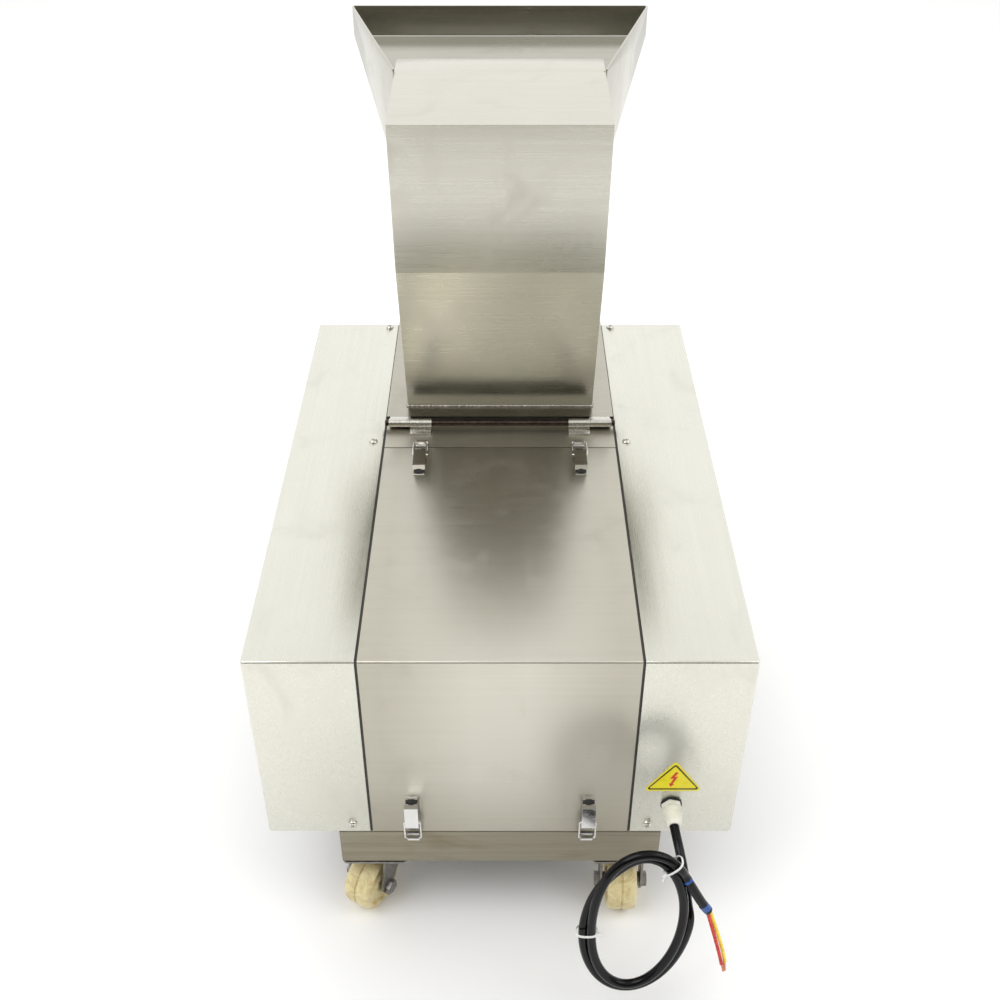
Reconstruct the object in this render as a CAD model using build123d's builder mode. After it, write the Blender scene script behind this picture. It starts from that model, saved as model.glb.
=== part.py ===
from build123d import *
from math import acos, atan2, cos, degrees, hypot, pi, radians, sin, sqrt, tan
import os

# Grape crusher destemmer on casters, in millimetres. +Z is up and the origin is on the floor under
# the middle of the machine. The latched motor cover and the cable gland face -Y, the feed mouth +Y.

# ---- body and frame ----
body_width = 550
body_height = 281
centre_width = 309          # between the inner edges of the two side covers
cover_gap = 3
sheet = 1.5
front_cover_depth = 396
strip_depth = 53
strip_gap = 1.2
rail_width = 40
rail_height = 60
rail_wall = 2
rail_corner = 4
caster_height = 109
motor_bed_half = 95
plate_clearance = 2.5       # between a side plate and the inner edge of its cover

# ---- side plates and chamber ----
plate = 4
flange = 3
flange_reach = 35
guide_sheet = 2
chamber_inset = 11.8        # from the hinge strip's rear edge to the chamber
chamber_depth = 265         # from the chamber's front wall to the back of the body
fit_gap = 0.5
flange_top = 28
strip_skirt = 36.5
spout_reach = 62
spout_drop = 30
spout_lip = 12
guide_step = 12
must_sheet = 3
outlet_front = 48           # from the rotor's axis
outlet_back = 58
screen_strips = 9
screen_row = 9

# ---- latches ----
latch_height = 12
latch_inset = 51            # from the side covers' inner edges
latch_setback = 17          # upper latch pivots, from the front cover's rear edge
latch_pivot_rise = 17       # lower latch pivots, above the cover's lower edge
latch_pivot_height = 6.2
lever_length = 38
lever_width = 16
lever_wall = 1.2
bail_offset = 6.5
bail_wire = 2.2
catch_lip = 21
catch_thickness = 1.6
catch_height = 8

# ---- hopper ----
hopper_sheet = 2
base_plate = 4
base_plate_gap = 1.5        # at each side of the hopper's base plate
base_plate_inset = 13.8     # from the hinge strip's rear edge
base_plate_overhang = 3
chute_inset = 28.5
chute_depth = 152
chute_setback = 25          # from the base plate's front edge
knee_rise = 238
knee_lead = 73
crown_rise = 428
crown_lead = 95.4
roof_length = 195
roof_rise = 10.5
throat_rise = 305
tray_start = 56             # from the chute's foot
mouth_reach = 323           # from the chute's foot to the outside of the feed tray's lip
tray_drop = 28              # from the crown to the tray floor's far edge
rim_step = 12               # from the crown up to the rim
mouth_flare = 73.5
hinge_inset = 7.2           # from the hinge strip's rear edge
hinge_height = 8
hinge_rod = 8
knuckle_diameter = 11.5
knuckle_end_gap = 6
knuckle_length = 28.5
leaf_reach = 18
knuckle_gap = 0.5
run_clearance = 0.05

# ---- casters ----
wheel_diameter = 75
wheel_width = 37
wheel_bore = 12
trail = 22
caster_plate_width = 78
caster_plate_length = 100
caster_plate_thickness = 3
race_radius = 22
race_height = 5
kingpin_radius = 5
kingpin_head = 8.5
kingpin_drop = 14
crown_drop = 13             # from the caster's top to the top of its fork
crown_reach = 20
fork_sheet = 3
fork_gap = 5.5
spacer_radius = 9
axle_nut = 9.5
axle_nut_height = 6
tread_shoulder = 11
swivel_angles = {"front_left": -30, "front_right": 0, "rear_left": 14, "rear_right": -20}

# ---- crushing and destemming ----
rotor_inset = 110.7         # from the chamber's front wall
rotor_drop = 205            # below the deck
rotor_play = 14             # between the rotor's tips and the rollers
rotor_shaft = 28
paddle_rod = 10
paddle_stations = 10
screen_play = 6
screen_hole = 18
roller_nip = 4
roller_shaft = 22
rear_roller_lead = 27.3     # from the rotor's axis towards the back
roller_flutes = 12
flute_radius = 5
gear_module = 4
rotor_teeth = 27
roller_teeth = 36
idler_teeth = 17
gear_width = 18
gear_backlash = 0.5
pressure_angle = 20
bearing_radius = 24
bearing_length = 22

# ---- drive ----
motor_back = 190
motor_axis_height = 90
motor_radius = 76
motor_shaft = 24
motor_plate = 6
motor_pulley_radius = 35
rotor_pulley_radius = 70
pulley_width = 28
pulley_start = 178
belt_width = 9.5
belt_thickness = 6

# ---- electrics ----
gland_inset = 45.5          # from the side cover's inner edge
gland_rise = 49.5           # above the body's lower edge
gland_hex = 22
cord_diameter = 10.8
sign_base = 67.8
sign_height = 50.1
sign_corner = 3
sign_thickness = 0.6
sign_inset = 45
sign_rise = 74
screw_head = 11
screw_hole = 3.1
top_screw_inset = 12.5      # from the side cover's inner edge
front_screw_inset = 20
front_screw_rise = 13.5

# ---- worked out from the sizes above ----
body_floor = caster_height + rail_height
deck = body_floor + body_height
strip_end = front_cover_depth + strip_gap + strip_depth
chamber_start = strip_end + chamber_inset
body_depth = chamber_start + chamber_depth
base_plate_front = strip_end + base_plate_inset
base_plate_back = body_depth + base_plate_overhang
chute_foot = base_plate_front + chute_setback
front = (latch_height - chute_foot - mouth_reach) / 2
back = front + body_depth
inner_x = centre_width / 2
wall_x = inner_x - plate_clearance          # inner face of the side rails, outer face of the side plates
frame_width = 2 * (wall_x + rail_width)
chamber_x = wall_x - plate
cover_x = inner_x - cover_gap
base_plate_width = centre_width - 2 * base_plate_gap
half_chute = inner_x - chute_inset
mouth_half = half_chute + mouth_flare
latch_spread = inner_x - latch_inset
knuckle_inner = inner_x - knuckle_end_gap - 2 * knuckle_length
swivel_spread = (frame_width - caster_plate_width) / 2
swivel_inset = caster_plate_length / 2
gland_x = inner_x + gland_inset
gland_z = body_floor + gland_rise
body_x = body_width / 2
hopper_floor = deck + fit_gap
hopper_deck = hopper_floor + base_plate
rotor_y = front + chamber_start + rotor_inset
rotor_z = deck - rotor_drop
gear_distance = gear_module * (rotor_teeth + roller_teeth) / 2
roller_pitch = gear_module * idler_teeth
roller_radius = (roller_pitch - roller_nip) / 2
rotor_radius = gear_distance - roller_radius - rotor_play
screen_radius = rotor_radius + screen_play
rear_roller_y = rotor_y + rear_roller_lead
roller_z = rotor_z + sqrt(gear_distance**2 - (rear_roller_y - rotor_y)**2)
front_roller_y = rear_roller_y - roller_pitch
motor_y = front + motor_back
motor_z = body_floor + motor_plate + motor_axis_height
axle_z = wheel_diameter / 2
hinge_y = front + strip_end - hinge_inset
hinge_z = deck + hinge_height

os.makedirs("parts", exist_ok=True)


def save(shape, name):
    """Labels a finished piece and writes it under its own name."""
    shape.label = name
    export_step(shape, f"parts/{name}.step")


def slab(points, x_from, x_to):
    """A plate with a (y, z) outline that runs from x_from to x_to."""
    with BuildPart() as piece:
        with BuildSketch(Plane.YZ.offset(x_from)):
            with BuildLine():
                Polyline(*points, close=True)
            make_face()
        extrude(amount=x_to - x_from)
    return piece.part


def block(x_span, y_span, z_span):
    """A rectangular block between three pairs of limits."""
    (x0, x1), (y0, y1), (z0, z1) = x_span, y_span, z_span
    return slab([(y0, z0), (y1, z0), (y1, z1), (y0, z1)], x0, x1)


def rod_x(y, z, radius, x_from, x_to):
    """A round bar along X."""
    with BuildPart() as bar:
        with BuildSketch(Plane.YZ.offset(x_from)):
            with Locations((y, z)):
                Circle(radius)
        extrude(amount=x_to - x_from)
    return bar.part


def group(pieces):
    """Separate solids that share one node."""
    return Compound(children=list(pieces))


# ---------------------------------------------------------------- frame
def rail(plane, width, height, length):
    """A rectangular tube with rounded corners."""
    with BuildPart() as tube:
        with BuildSketch(plane):
            RectangleRounded(width, height, rail_corner)
            RectangleRounded(
                width - 2 * rail_wall, height - 2 * rail_wall, rail_corner - rail_wall,
                mode=Mode.SUBTRACT,
            )
        extrude(amount=length)
    return tube.part


def cross_rail(y):
    """A capped tube across the machine, centred on y."""
    half = frame_width / 2 - rail_wall
    z = caster_height + rail_height / 2
    tube = rail(Plane((-half, y, z), x_dir=(0, 1, 0), z_dir=(1, 0, 0)), rail_width, rail_height, 2 * half)
    caps = []
    for x in (-half - rail_wall, half):
        with BuildPart() as cap:
            with BuildSketch(Plane((x, y, z), x_dir=(0, 1, 0), z_dir=(1, 0, 0))):
                RectangleRounded(rail_width, rail_height, rail_corner)
            extrude(amount=rail_wall)
        caps.append(cap.part)
    return [tube, *caps]


def side_rail(x):
    """A tube between the front and rear rails."""
    start = Plane((x, front + rail_width, caster_height + rail_height / 2), x_dir=(1, 0, 0), z_dir=(0, 1, 0))
    return rail(start, rail_width, rail_height, body_depth - 2 * rail_width)


frame_pieces = cross_rail(front + rail_width / 2) + cross_rail(back - rail_width / 2)
for side in (-1, 1):
    frame_pieces.append(side_rail(side * (wall_x + rail_width / 2)))
save(group(frame_pieces), "base_frame")

motor_bed = block(
    (-chamber_x, chamber_x),
    (motor_y - motor_bed_half, motor_y + motor_bed_half),
    (body_floor, body_floor + motor_plate),
)
save(motor_bed, "motor_plate")


# ---------------------------------------------------------------- casters
def caster_spot(name):
    """Swivel centre, axle direction and trail direction of one caster."""
    x = swivel_spread if name.endswith("right") else -swivel_spread
    y = front + swivel_inset if name.startswith("front") else back - swivel_inset
    angle = radians(swivel_angles[name])
    return x, y, (cos(angle), sin(angle), 0), (sin(angle), -cos(angle), 0)


def caster_mount(name):
    """The fixed plate, upper ball race and kingpin."""
    x, y, _, _ = caster_spot(name)
    y_plate = front + caster_plate_length / 2 if y < 0 else back - caster_plate_length / 2
    plate_bottom = caster_height - caster_plate_thickness
    with BuildPart() as mount:
        with BuildSketch(Plane.XY.offset(plate_bottom)):
            with Locations((x, y_plate)):
                RectangleRounded(caster_plate_width, caster_plate_length, 5)
        extrude(amount=caster_plate_thickness)
        with BuildSketch(Plane.XY.offset(plate_bottom - race_height)):
            with Locations((x, y)):
                Circle(race_radius)
        extrude(amount=race_height)
        with BuildSketch(Plane.XY.offset(plate_bottom - kingpin_drop)):
            with Locations((x, y)):
                Circle(kingpin_radius)
        extrude(amount=kingpin_drop - race_height)
        with BuildSketch(Plane.XY.offset(plate_bottom - kingpin_drop - 2.5)):
            with Locations((x, y)):
                Circle(kingpin_head)
        extrude(amount=3)
    return mount.part


def fork_leg(side_plane, offset, thickness):
    """One side of the fork, which narrows to a point below the axle."""
    crown = caster_height - crown_drop
    with BuildPart() as leg:
        with BuildSketch(side_plane.offset(offset)):
            with BuildLine():
                Polyline(
                    (-crown_reach, crown), (-crown_reach, crown - 12), (trail - 13, axle_z + 4),
                    (trail - 4, axle_z - 16), (trail + 2, axle_z - 18), (trail + 13, axle_z + 2),
                    (trail + 2, crown), close=True,
                )
            make_face()
            with Locations((trail, axle_z)):
                Circle(wheel_bore / 2, mode=Mode.SUBTRACT)
        extrude(amount=thickness)
    return leg.part


def caster_fork(name):
    """Crown, lower ball race, two legs, hub spacers and the axle bolt."""
    x, y, axle, back_way = caster_spot(name)
    half_gap = wheel_width / 2 + fork_gap
    crown_top = caster_height - crown_drop
    leg_plane = Plane((x, y, 0), x_dir=back_way, z_dir=(-axle[0], -axle[1], 0))
    hub_x, hub_y = x + back_way[0] * trail, y + back_way[1] * trail
    with BuildPart() as crown:
        with BuildSketch(Plane((x, y, crown_top - fork_sheet), x_dir=back_way, z_dir=(0, 0, 1))):
            with Locations(((trail + 2 - crown_reach) / 2, 0)):
                Rectangle(trail + 2 + crown_reach, 2 * half_gap + 2 * fork_sheet)
            Circle(kingpin_radius + run_clearance, mode=Mode.SUBTRACT)
        extrude(amount=fork_sheet)
        with BuildSketch(Plane.XY.offset(crown_top)):
            with Locations((x, y)):
                Circle(race_radius - 1)
                Circle(kingpin_radius + 2, mode=Mode.SUBTRACT)
        extrude(amount=race_height - 0.5)
        add(fork_leg(leg_plane, half_gap, fork_sheet))
        add(fork_leg(leg_plane, -half_gap - fork_sheet, fork_sheet))
    with BuildPart() as bolt:
        axle_plane = Plane((hub_x, hub_y, axle_z), x_dir=(0, 0, 1), z_dir=axle)
        reach = half_gap + fork_sheet
        with BuildSketch(axle_plane.offset(-reach)):
            Circle(wheel_bore / 2 - run_clearance)
        extrude(amount=2 * reach)
        for start in (-reach - axle_nut_height, reach):
            with BuildSketch(axle_plane.offset(start)):
                RegularPolygon(axle_nut, 6)
            extrude(amount=axle_nut_height)
    spacers = []
    for start in (-half_gap + 0.2, wheel_width / 2 + 0.4):
        with BuildPart() as spacer:
            with BuildSketch(axle_plane.offset(start)):
                Circle(spacer_radius)
                Circle(wheel_bore / 2, mode=Mode.SUBTRACT)
            extrude(amount=fork_gap - 0.6)
        spacers.append(spacer.part)
    return group([crown.part, bolt.part, *spacers])


def caster_wheel(name):
    """A nylon wheel with rounded shoulders and a groove round its middle."""
    x, y, axle, back_way = caster_spot(name)
    centre = (x + back_way[0] * trail, y + back_way[1] * trail, axle_z)
    half, radius = wheel_width / 2, wheel_diameter / 2
    with BuildPart() as wheel:
        with BuildSketch(Plane(centre, x_dir=axle, z_dir=back_way)):
            with BuildLine():
                Polyline(
                    (-half, wheel_bore / 2), (half, wheel_bore / 2), (half, radius - tread_shoulder),
                    (half - 3, radius - 3), (half - 7, radius), (1, radius), (0, radius - 1.2), (-1, radius),
                    (7 - half, radius), (3 - half, radius - 3), (-half, radius - tread_shoulder), close=True,
                )
            make_face()
        revolve(axis=Axis(centre, axle))
    return wheel.part


save(group(caster_mount(name) for name in swivel_angles), "caster_plates")
for name in swivel_angles:
    save(caster_fork(name), f"caster_fork_{name}")
    save(caster_wheel(name), f"caster_wheel_{name}")


# ---------------------------------------------------------------- side plates and chamber
top_screw_backs = (front_cover_depth + 14, body_depth - 11)
top_screw_x = inner_x + top_screw_inset
front_screw_x = inner_x + front_screw_inset
front_screw_z = body_floor + front_screw_rise
shafts = ((rotor_y, rotor_z, rotor_shaft), (front_roller_y, roller_z, roller_shaft),
          (rear_roller_y, roller_z, roller_shaft))


def side_plate(side):
    """A bearing plate folded outwards at its top, front and rear edges."""
    y0, y1 = front + sheet, back - sheet
    top = deck - sheet
    inner, outer = side * chamber_x, side * wall_x
    far = side * (wall_x + flange_reach)
    with BuildPart() as piece:
        add(block((inner, outer), (y0, y1), (body_floor, top)))
        add(block((outer, side * (wall_x + flange_top)), (y0, y1), (top - flange, top)))
        add(block((outer, far), (y0, y0 + flange), (body_floor, top)))
        add(block((outer, far), (y1 - flange, y1), (body_floor, top)))
        with BuildSketch(Plane.YZ.offset(inner)):
            for y, z, diameter in shafts:
                with Locations((y, z)):
                    Circle(diameter / 2 + 3)
            if side < 0:
                with Locations((motor_y, motor_z)):
                    Circle(motor_shaft / 2 + 3)
        extrude(amount=side * plate, mode=Mode.SUBTRACT)
        with Locations(*[(side * top_screw_x, front + back_by, top) for back_by in top_screw_backs]):
            Hole(screw_hole, depth=flange)
        with BuildSketch(Plane.XZ.offset(-y0)):
            with Locations((side * front_screw_x, front_screw_z)):
                Circle(screw_hole)
            if side > 0:
                with Locations((gland_x, gland_z)):
                    Circle(gland_hex / 2)
        extrude(amount=-flange, mode=Mode.SUBTRACT)
        with BuildSketch(Plane.XZ.offset(-y1)):
            with Locations((side * front_screw_x, front_screw_z)):
                Circle(screw_hole)
        extrude(amount=flange, mode=Mode.SUBTRACT)
    return piece.part


save(side_plate(-1), "left_side_plate")
save(side_plate(1), "right_side_plate")

strip_start = front + front_cover_depth + strip_gap
with BuildPart() as hinge_strip:
    add(block((-cover_x, cover_x), (strip_start, strip_start + strip_depth), (deck - sheet, deck)))
    for y in (strip_start, strip_start + strip_depth - flange):
        add(block((-chamber_x, chamber_x), (y, y + flange), (deck - sheet - strip_skirt, deck - sheet)))
save(hinge_strip.part, "hinge_strip")

chamber_front = front + chamber_start
chamber_wall = block(
    (-chamber_x, chamber_x), (chamber_front, chamber_front + flange), (body_floor, deck)
)
save(chamber_wall, "chamber_front_wall")

# The rear panel has the stem opening low on the right, with a short spout under it.
stem_x = (60, 140)
stem_z = (rotor_z + 30, rotor_z + 100)
with BuildPart() as rear_sheet:
    add(block((-cover_x, cover_x), (back - sheet, back), (body_floor, deck)))
    add(block(stem_x, (back - 2 * sheet, back + sheet), stem_z), mode=Mode.SUBTRACT)
spout_side = [
    (back, stem_z[0] - hopper_sheet), (back + spout_reach, stem_z[0] - spout_drop),
    (back + spout_reach, stem_z[0] + spout_lip), (back, stem_z[1]),
]
spout_floor = [
    (back, stem_z[0] - hopper_sheet), (back + spout_reach, stem_z[0] - spout_drop),
    (back + spout_reach, stem_z[0] - spout_drop + hopper_sheet), (back, stem_z[0]),
]
rear_pieces = [
    rear_sheet.part,
    slab(spout_side, stem_x[0] - hopper_sheet, stem_x[0]),
    slab(spout_side, stem_x[1], stem_x[1] + hopper_sheet),
    slab(spout_floor, stem_x[0], stem_x[1]),
]
save(group(rear_pieces), "rear_panel")

# Sloping guides bring the crushed fruit into the screen.
guide_low = rotor_z + 3
guide_reach = screen_radius + guide_sheet + fit_gap
front_guide = [
    (chamber_front + flange, roller_z + 20), (chamber_front + flange, roller_z + 20 - guide_step),
    (rotor_y - guide_reach, guide_low), (rotor_y - guide_reach + guide_sheet, guide_low),
]
rear_guide = [
    (back - sheet, stem_z[0]), (back - sheet, stem_z[0] - 3),
    (rotor_y + guide_reach, guide_low), (rotor_y + guide_reach - guide_sheet, guide_low),
]
save(group(slab(outline, -chamber_x, chamber_x) for outline in (front_guide, rear_guide)), "roller_guides")



def screen_strip(start_angle, sweep, count):
    """One strip of the drum-shaped screen with a row of holes along its middle."""
    outer_radius = screen_radius + guide_sheet
    edge_ways = [(cos(radians(angle)), sin(radians(angle))) for angle in (start_angle, start_angle + sweep)]
    middle = radians(start_angle + sweep / 2)
    with BuildPart() as strip:
        with BuildSketch(Plane.YZ.offset(-chamber_x)):
            with BuildLine():
                for radius in (screen_radius, outer_radius):
                    CenterArc((rotor_y, rotor_z), radius, start_angle, sweep)
                for way in edge_ways:
                    Line(
                        (rotor_y + screen_radius * way[0], rotor_z + screen_radius * way[1]),
                        (rotor_y + outer_radius * way[0], rotor_z + outer_radius * way[1]),
                    )
            make_face()
        extrude(amount=2 * chamber_x)
        with BuildSketch(Plane((0, rotor_y, rotor_z), x_dir=(1, 0, 0), z_dir=(0, cos(middle), sin(middle)))):
            with GridLocations(2 * chamber_x / (screen_row + 1), 1, count, 1):
                Circle(screen_hole / 2)
        extrude(amount=outer_radius + 3, mode=Mode.SUBTRACT)
    return strip.part


strip_sweep = 180 / screen_strips
save(
    group(
        screen_strip(180 + row * strip_sweep, strip_sweep, screen_row - row % 2) for row in range(screen_strips)
    ),
    "destem_screen",
)

chute_bottom = caster_height
chute_top = body_floor
outlet_y = (rotor_y - outlet_front, rotor_y + outlet_back)
must_front = chamber_front + flange
must_back = back - rail_width
must_side = [
    (must_front, chute_top), (must_back, chute_top), (outlet_y[1], chute_bottom), (outlet_y[0], chute_bottom),
]
must_pieces = [slab(must_side, side * chamber_x, side * wall_x) for side in (-1, 1)]
for top_y, low_y, thick in ((must_front, outlet_y[0], must_sheet), (must_back, outlet_y[1], -must_sheet)):
    outline = [(top_y, chute_top), (low_y, chute_bottom), (low_y + thick, chute_bottom), (top_y + thick, chute_top)]
    must_pieces.append(slab(outline, -chamber_x, chamber_x))
save(group(must_pieces), "must_chute")


# ---------------------------------------------------------------- covers and their screws
def side_cover(side):
    """A folded cover, open below and towards the middle of the machine."""
    inner, outer = sorted((side * inner_x, side * body_x))
    with BuildPart() as cover:
        add(block((inner, outer), (front, back), (body_floor, deck)))
        bends = cover.edges().filter_by(Axis.Y).group_by(Axis.Z)[-1]
        fillet(bends.sort_by(Axis.X)[-1 if side > 0 else 0], sheet * 0.9)
        cavity = (inner - 1, outer - sheet) if side > 0 else (inner + sheet, outer + 1)
        add(
            block(cavity, (front + sheet, back - sheet), (body_floor - 1, deck - sheet)),
            mode=Mode.SUBTRACT,
        )
        with Locations(*[(side * top_screw_x, front + back_by, deck) for back_by in top_screw_backs]):
            Hole(screw_hole + 0.3, depth=sheet)
        with BuildSketch(Plane.XZ.offset(-front)):
            with Locations((side * front_screw_x, front_screw_z)):
                Circle(screw_hole + 0.3)
            if side > 0:
                with Locations((gland_x, gland_z)):
                    Circle(gland_hex / 2 - 3)
        extrude(amount=-sheet, mode=Mode.SUBTRACT)
        with BuildSketch(Plane.XZ.offset(-back)):
            with Locations((side * front_screw_x, front_screw_z)):
                Circle(screw_hole + 0.3)
        extrude(amount=sheet, mode=Mode.SUBTRACT)
    return cover.part


save(side_cover(-1), "left_side_cover")
save(side_cover(1), "right_side_cover")

cover_back = front + front_cover_depth
with BuildPart() as front_cover:
    outline = [
        (front, body_floor), (front, deck), (cover_back, deck), (cover_back, deck - sheet),
        (front + sheet, deck - sheet), (front + sheet, body_floor),
    ]
    add(slab(outline, -cover_x, cover_x))
    fold = front_cover.edges().filter_by(Axis.X).group_by(Axis.Z)[-1].sort_by(Axis.Y)[0]
    fillet(fold, sheet * 0.9)
save(front_cover.part, "front_cover")


def screw(spot, out):
    """A pan-head screw with its head's underside at spot."""
    with BuildPart() as piece:
        with BuildSketch(Plane(spot, z_dir=out)):
            Circle(screw_head / 2)
        extrude(amount=3.6)
        fillet(piece.faces().filter_by(GeomType.CYLINDER).edges().filter_by(GeomType.CIRCLE).sort_by(
            Axis(spot, out))[-1], 2)
        with BuildSketch(Plane(spot, z_dir=out)):
            Circle(screw_hole - 0.2)
        extrude(amount=-6)
    return piece.part


screws = []
for side in (-1, 1):
    for back_by in top_screw_backs:
        screws.append(screw((side * top_screw_x, front + back_by, deck), (0, 0, 1)))
    screws.append(screw((side * front_screw_x, front, front_screw_z), (0, -1, 0)))
    screws.append(screw((side * front_screw_x, back, front_screw_z), (0, 1, 0)))
save(group(screws), "cover_screws")


# ---------------------------------------------------------------- hopper and its hinge
def foot(lead, rise):
    """A point on the chute's front side, from its lead towards the front and its rise."""
    return front + chute_foot - lead, hopper_deck + rise


upper_lean = (crown_lead - knee_lead) / (crown_rise - knee_rise)
throat_lead = knee_lead + upper_lean * (throat_rise - knee_rise)
front_foot = foot(0, 0)
front_knee = foot(knee_lead, knee_rise)
front_crown = foot(crown_lead, crown_rise)
back_foot = foot(-chute_depth, 0)
back_knee = foot(knee_lead - chute_depth, knee_rise)
throat = foot(throat_lead - chute_depth, throat_rise)
roof_end = (front_crown[0] + roof_length, front_crown[1] + roof_rise)
roof_slope = roof_rise / roof_length
tray_near = front + chute_foot + tray_start
side_top = (tray_near, front_crown[1] + roof_slope * (tray_near - front_crown[0]))


def shift(point, dy, dz=0):
    """A point moved by dy and dz."""
    return point[0] + dy, point[1] + dz


t = hopper_sheet
inside = half_chute - t
chute_pieces = [
    slab([front_foot, shift(front_foot, t), shift(front_knee, t), front_knee], -inside, inside),
    slab([front_knee, shift(front_knee, t), shift(front_crown, t, -t), shift(front_crown, 0, -t)],
         -inside, inside),
    slab([shift(back_foot, -t), back_foot, back_knee, shift(back_knee, -t)], -inside, inside),
    slab([shift(back_knee, -t), back_knee, throat, shift(throat, -t)], -inside, inside),
]
lower_side = [front_foot, back_foot, back_knee, front_knee]
upper_side = [front_knee, back_knee, throat, shift(side_top, 0, -t), shift(front_crown, 0, -t)]
for side in (-1, 1):
    for outline in (lower_side, upper_side):
        chute_pieces.append(slab(outline, side * inside, side * half_chute))
save(group(chute_pieces), "hopper_chute")

roof = slab([shift(front_crown, 0, -t), front_crown, roof_end, shift(roof_end, 0, -t)], -half_chute, half_chute)
save(roof, "hopper_roof")

with BuildPart() as hopper_base_plate:
    add(block((-base_plate_width / 2, base_plate_width / 2), (front + base_plate_front, front + base_plate_back),
              (hopper_floor, hopper_deck)))
    add(block((-inside, inside), (front_foot[0] + t, back_foot[0] - t), (hopper_floor - 1, hopper_deck + 1)),
        mode=Mode.SUBTRACT)
save(hopper_base_plate.part, "hopper_base_plate")

tray_far = front + chute_foot + mouth_reach - t
tray_floor_far = front_crown[1] - tray_drop
rim = front_crown[1] + rim_step
tray_slope = (tray_floor_far - throat[1]) / (tray_far - throat[0])
flare = (mouth_half - half_chute) / (tray_far - side_top[0])
near_half = half_chute + flare * (throat[0] - side_top[0])
floor_length = hypot(tray_far - throat[0], tray_floor_far - throat[1])
with BuildPart() as tray_floor:
    slope_plane = Plane(
        (0, throat[0], throat[1]), x_dir=(1, 0, 0), z_dir=(0, -(tray_floor_far - throat[1]), tray_far - throat[0])
    )
    with BuildSketch(slope_plane):
        with BuildLine():
            Polyline(
                (-near_half, 0), (near_half, 0), (mouth_half, floor_length), (-mouth_half, floor_length),
                close=True,
            )
        make_face()
    extrude(amount=-t)


def wing(side):
    """A flared side of the feed tray, upright, from the chute's side to the lip."""
    along = Vector(side * (mouth_half - half_chute), tray_far - side_top[0], 0)
    share = along.length / (tray_far - side_top[0])
    start = (side * half_chute, side_top[0], 0)
    with BuildPart() as piece:
        with BuildSketch(Plane(start, x_dir=along, z_dir=along.cross(Vector(0, 0, 1)))):
            with BuildLine():
                Polyline(
                    (0, side_top[1]),
                    (0, rim),
                    (along.length, rim),
                    (along.length, tray_floor_far),
                    ((throat[0] - side_top[0]) * share, throat[1]),
                    close=True,
                )
            make_face()
        extrude(amount=side * t)
    return piece.part


lip = block((-mouth_half - t, mouth_half + t), (tray_far, tray_far + t), (tray_floor_far - t, rim))
save(group([tray_floor.part, wing(-1), wing(1), lip]), "feed_tray")

rod_end = inner_x - 1
save(rod_x(hinge_y, hinge_z, hinge_rod / 2, -rod_end, rod_end), "hinge_rod")


def knuckle(x_from, x_to, leaf):
    """A hinge barrel with its leaf, between two places along the rod."""
    with BuildPart() as piece:
        add(rod_x(hinge_y, hinge_z, knuckle_diameter / 2, x_from, x_to))
        add(slab(leaf, x_from, x_to))
        add(rod_x(hinge_y, hinge_z, hinge_rod / 2 + run_clearance, x_from - 1, x_to + 1), mode=Mode.SUBTRACT)
    return piece.part


barrel_low = hinge_z - knuckle_diameter / 2
fixed_leaf = [
    (hinge_y - leaf_reach, deck), (hinge_y, deck), (hinge_y, barrel_low + 1.2), (hinge_y - leaf_reach, deck + 3)
]
plate_front = front + base_plate_front
hopper_leaf = [
    (hinge_y + 1, barrel_low + 0.1), (plate_front, hopper_floor + 0.6), (plate_front, hopper_deck),
    (hinge_y + 1, barrel_low + 1.6),
]
split = knuckle_inner + knuckle_length
fixed_spans = [(-split, -knuckle_inner), (knuckle_inner, split)]
hopper_spans = [(-split - knuckle_length, -split - knuckle_gap), (split + knuckle_gap, split + knuckle_length)]
save(group(knuckle(*span, fixed_leaf) for span in fixed_spans), "hinge_knuckles_fixed")
save(group(knuckle(*span, hopper_leaf) for span in hopper_spans), "hinge_knuckles_hopper")


# ---------------------------------------------------------------- toggle latches
# Each latch is drawn from the side: s runs from the lever's pivot towards the catch, n away from the panel.
half_lever = lever_width / 2
catch_wire = catch_lip + catch_thickness + 0.4 + bail_wire / 2
bail_clearance = 0.5


def latch_side(name):
    """The (s, n) plane of a latch, square to the pivot's axis."""
    x = latch_spread if name.endswith("right") else -latch_spread
    if name.startswith("upper"):
        return Plane((x, cover_back - latch_setback, deck), x_dir=(0, 1, 0), z_dir=(1, 0, 0))
    return Plane((x, front, body_floor + latch_pivot_rise), x_dir=(0, 0, -1), z_dir=(-1, 0, 0))


def latch_slab(side_plane, points, half_width):
    """A profile in (s, n), extruded to both sides."""
    with BuildPart() as piece:
        with BuildSketch(side_plane.offset(-half_width)):
            with BuildLine():
                Polyline(*points, close=True)
            make_face()
        extrude(amount=2 * half_width)
    return piece.part


def latch_pin(side_plane, s, n, radius, half_width):
    """A round bar across the latch."""
    with BuildPart() as pin:
        with BuildSketch(side_plane.offset(-half_width)):
            with Locations((s, n)):
                Circle(radius)
        extrude(amount=2 * half_width)
    return pin.part


def latch_base(side_plane):
    """Foot plate, two ears and the lever's pivot pin."""
    far = -lever_length - 5
    pivot = latch_pivot_height
    ear = [(-6, 1), (0.9, 1), (2.2, pivot - 1.6), (2.2, pivot + 2.4), (-2.2, pivot + 2.4)]
    with BuildPart() as base:
        add(latch_slab(side_plane, [(far, 0), (12, 0), (12, 1.2), (far, 1.2)], half_lever - 1))
        add(latch_slab(side_plane, ear, half_lever - lever_wall - 0.8))
        add(latch_slab(side_plane, [(-7, 1.2), (6, 1.2), (6, 12), (-7, 12)], 4.6), mode=Mode.SUBTRACT)
        add(latch_pin(side_plane, 0, latch_pivot_height, 1.5, half_lever))
    return base.part


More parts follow.
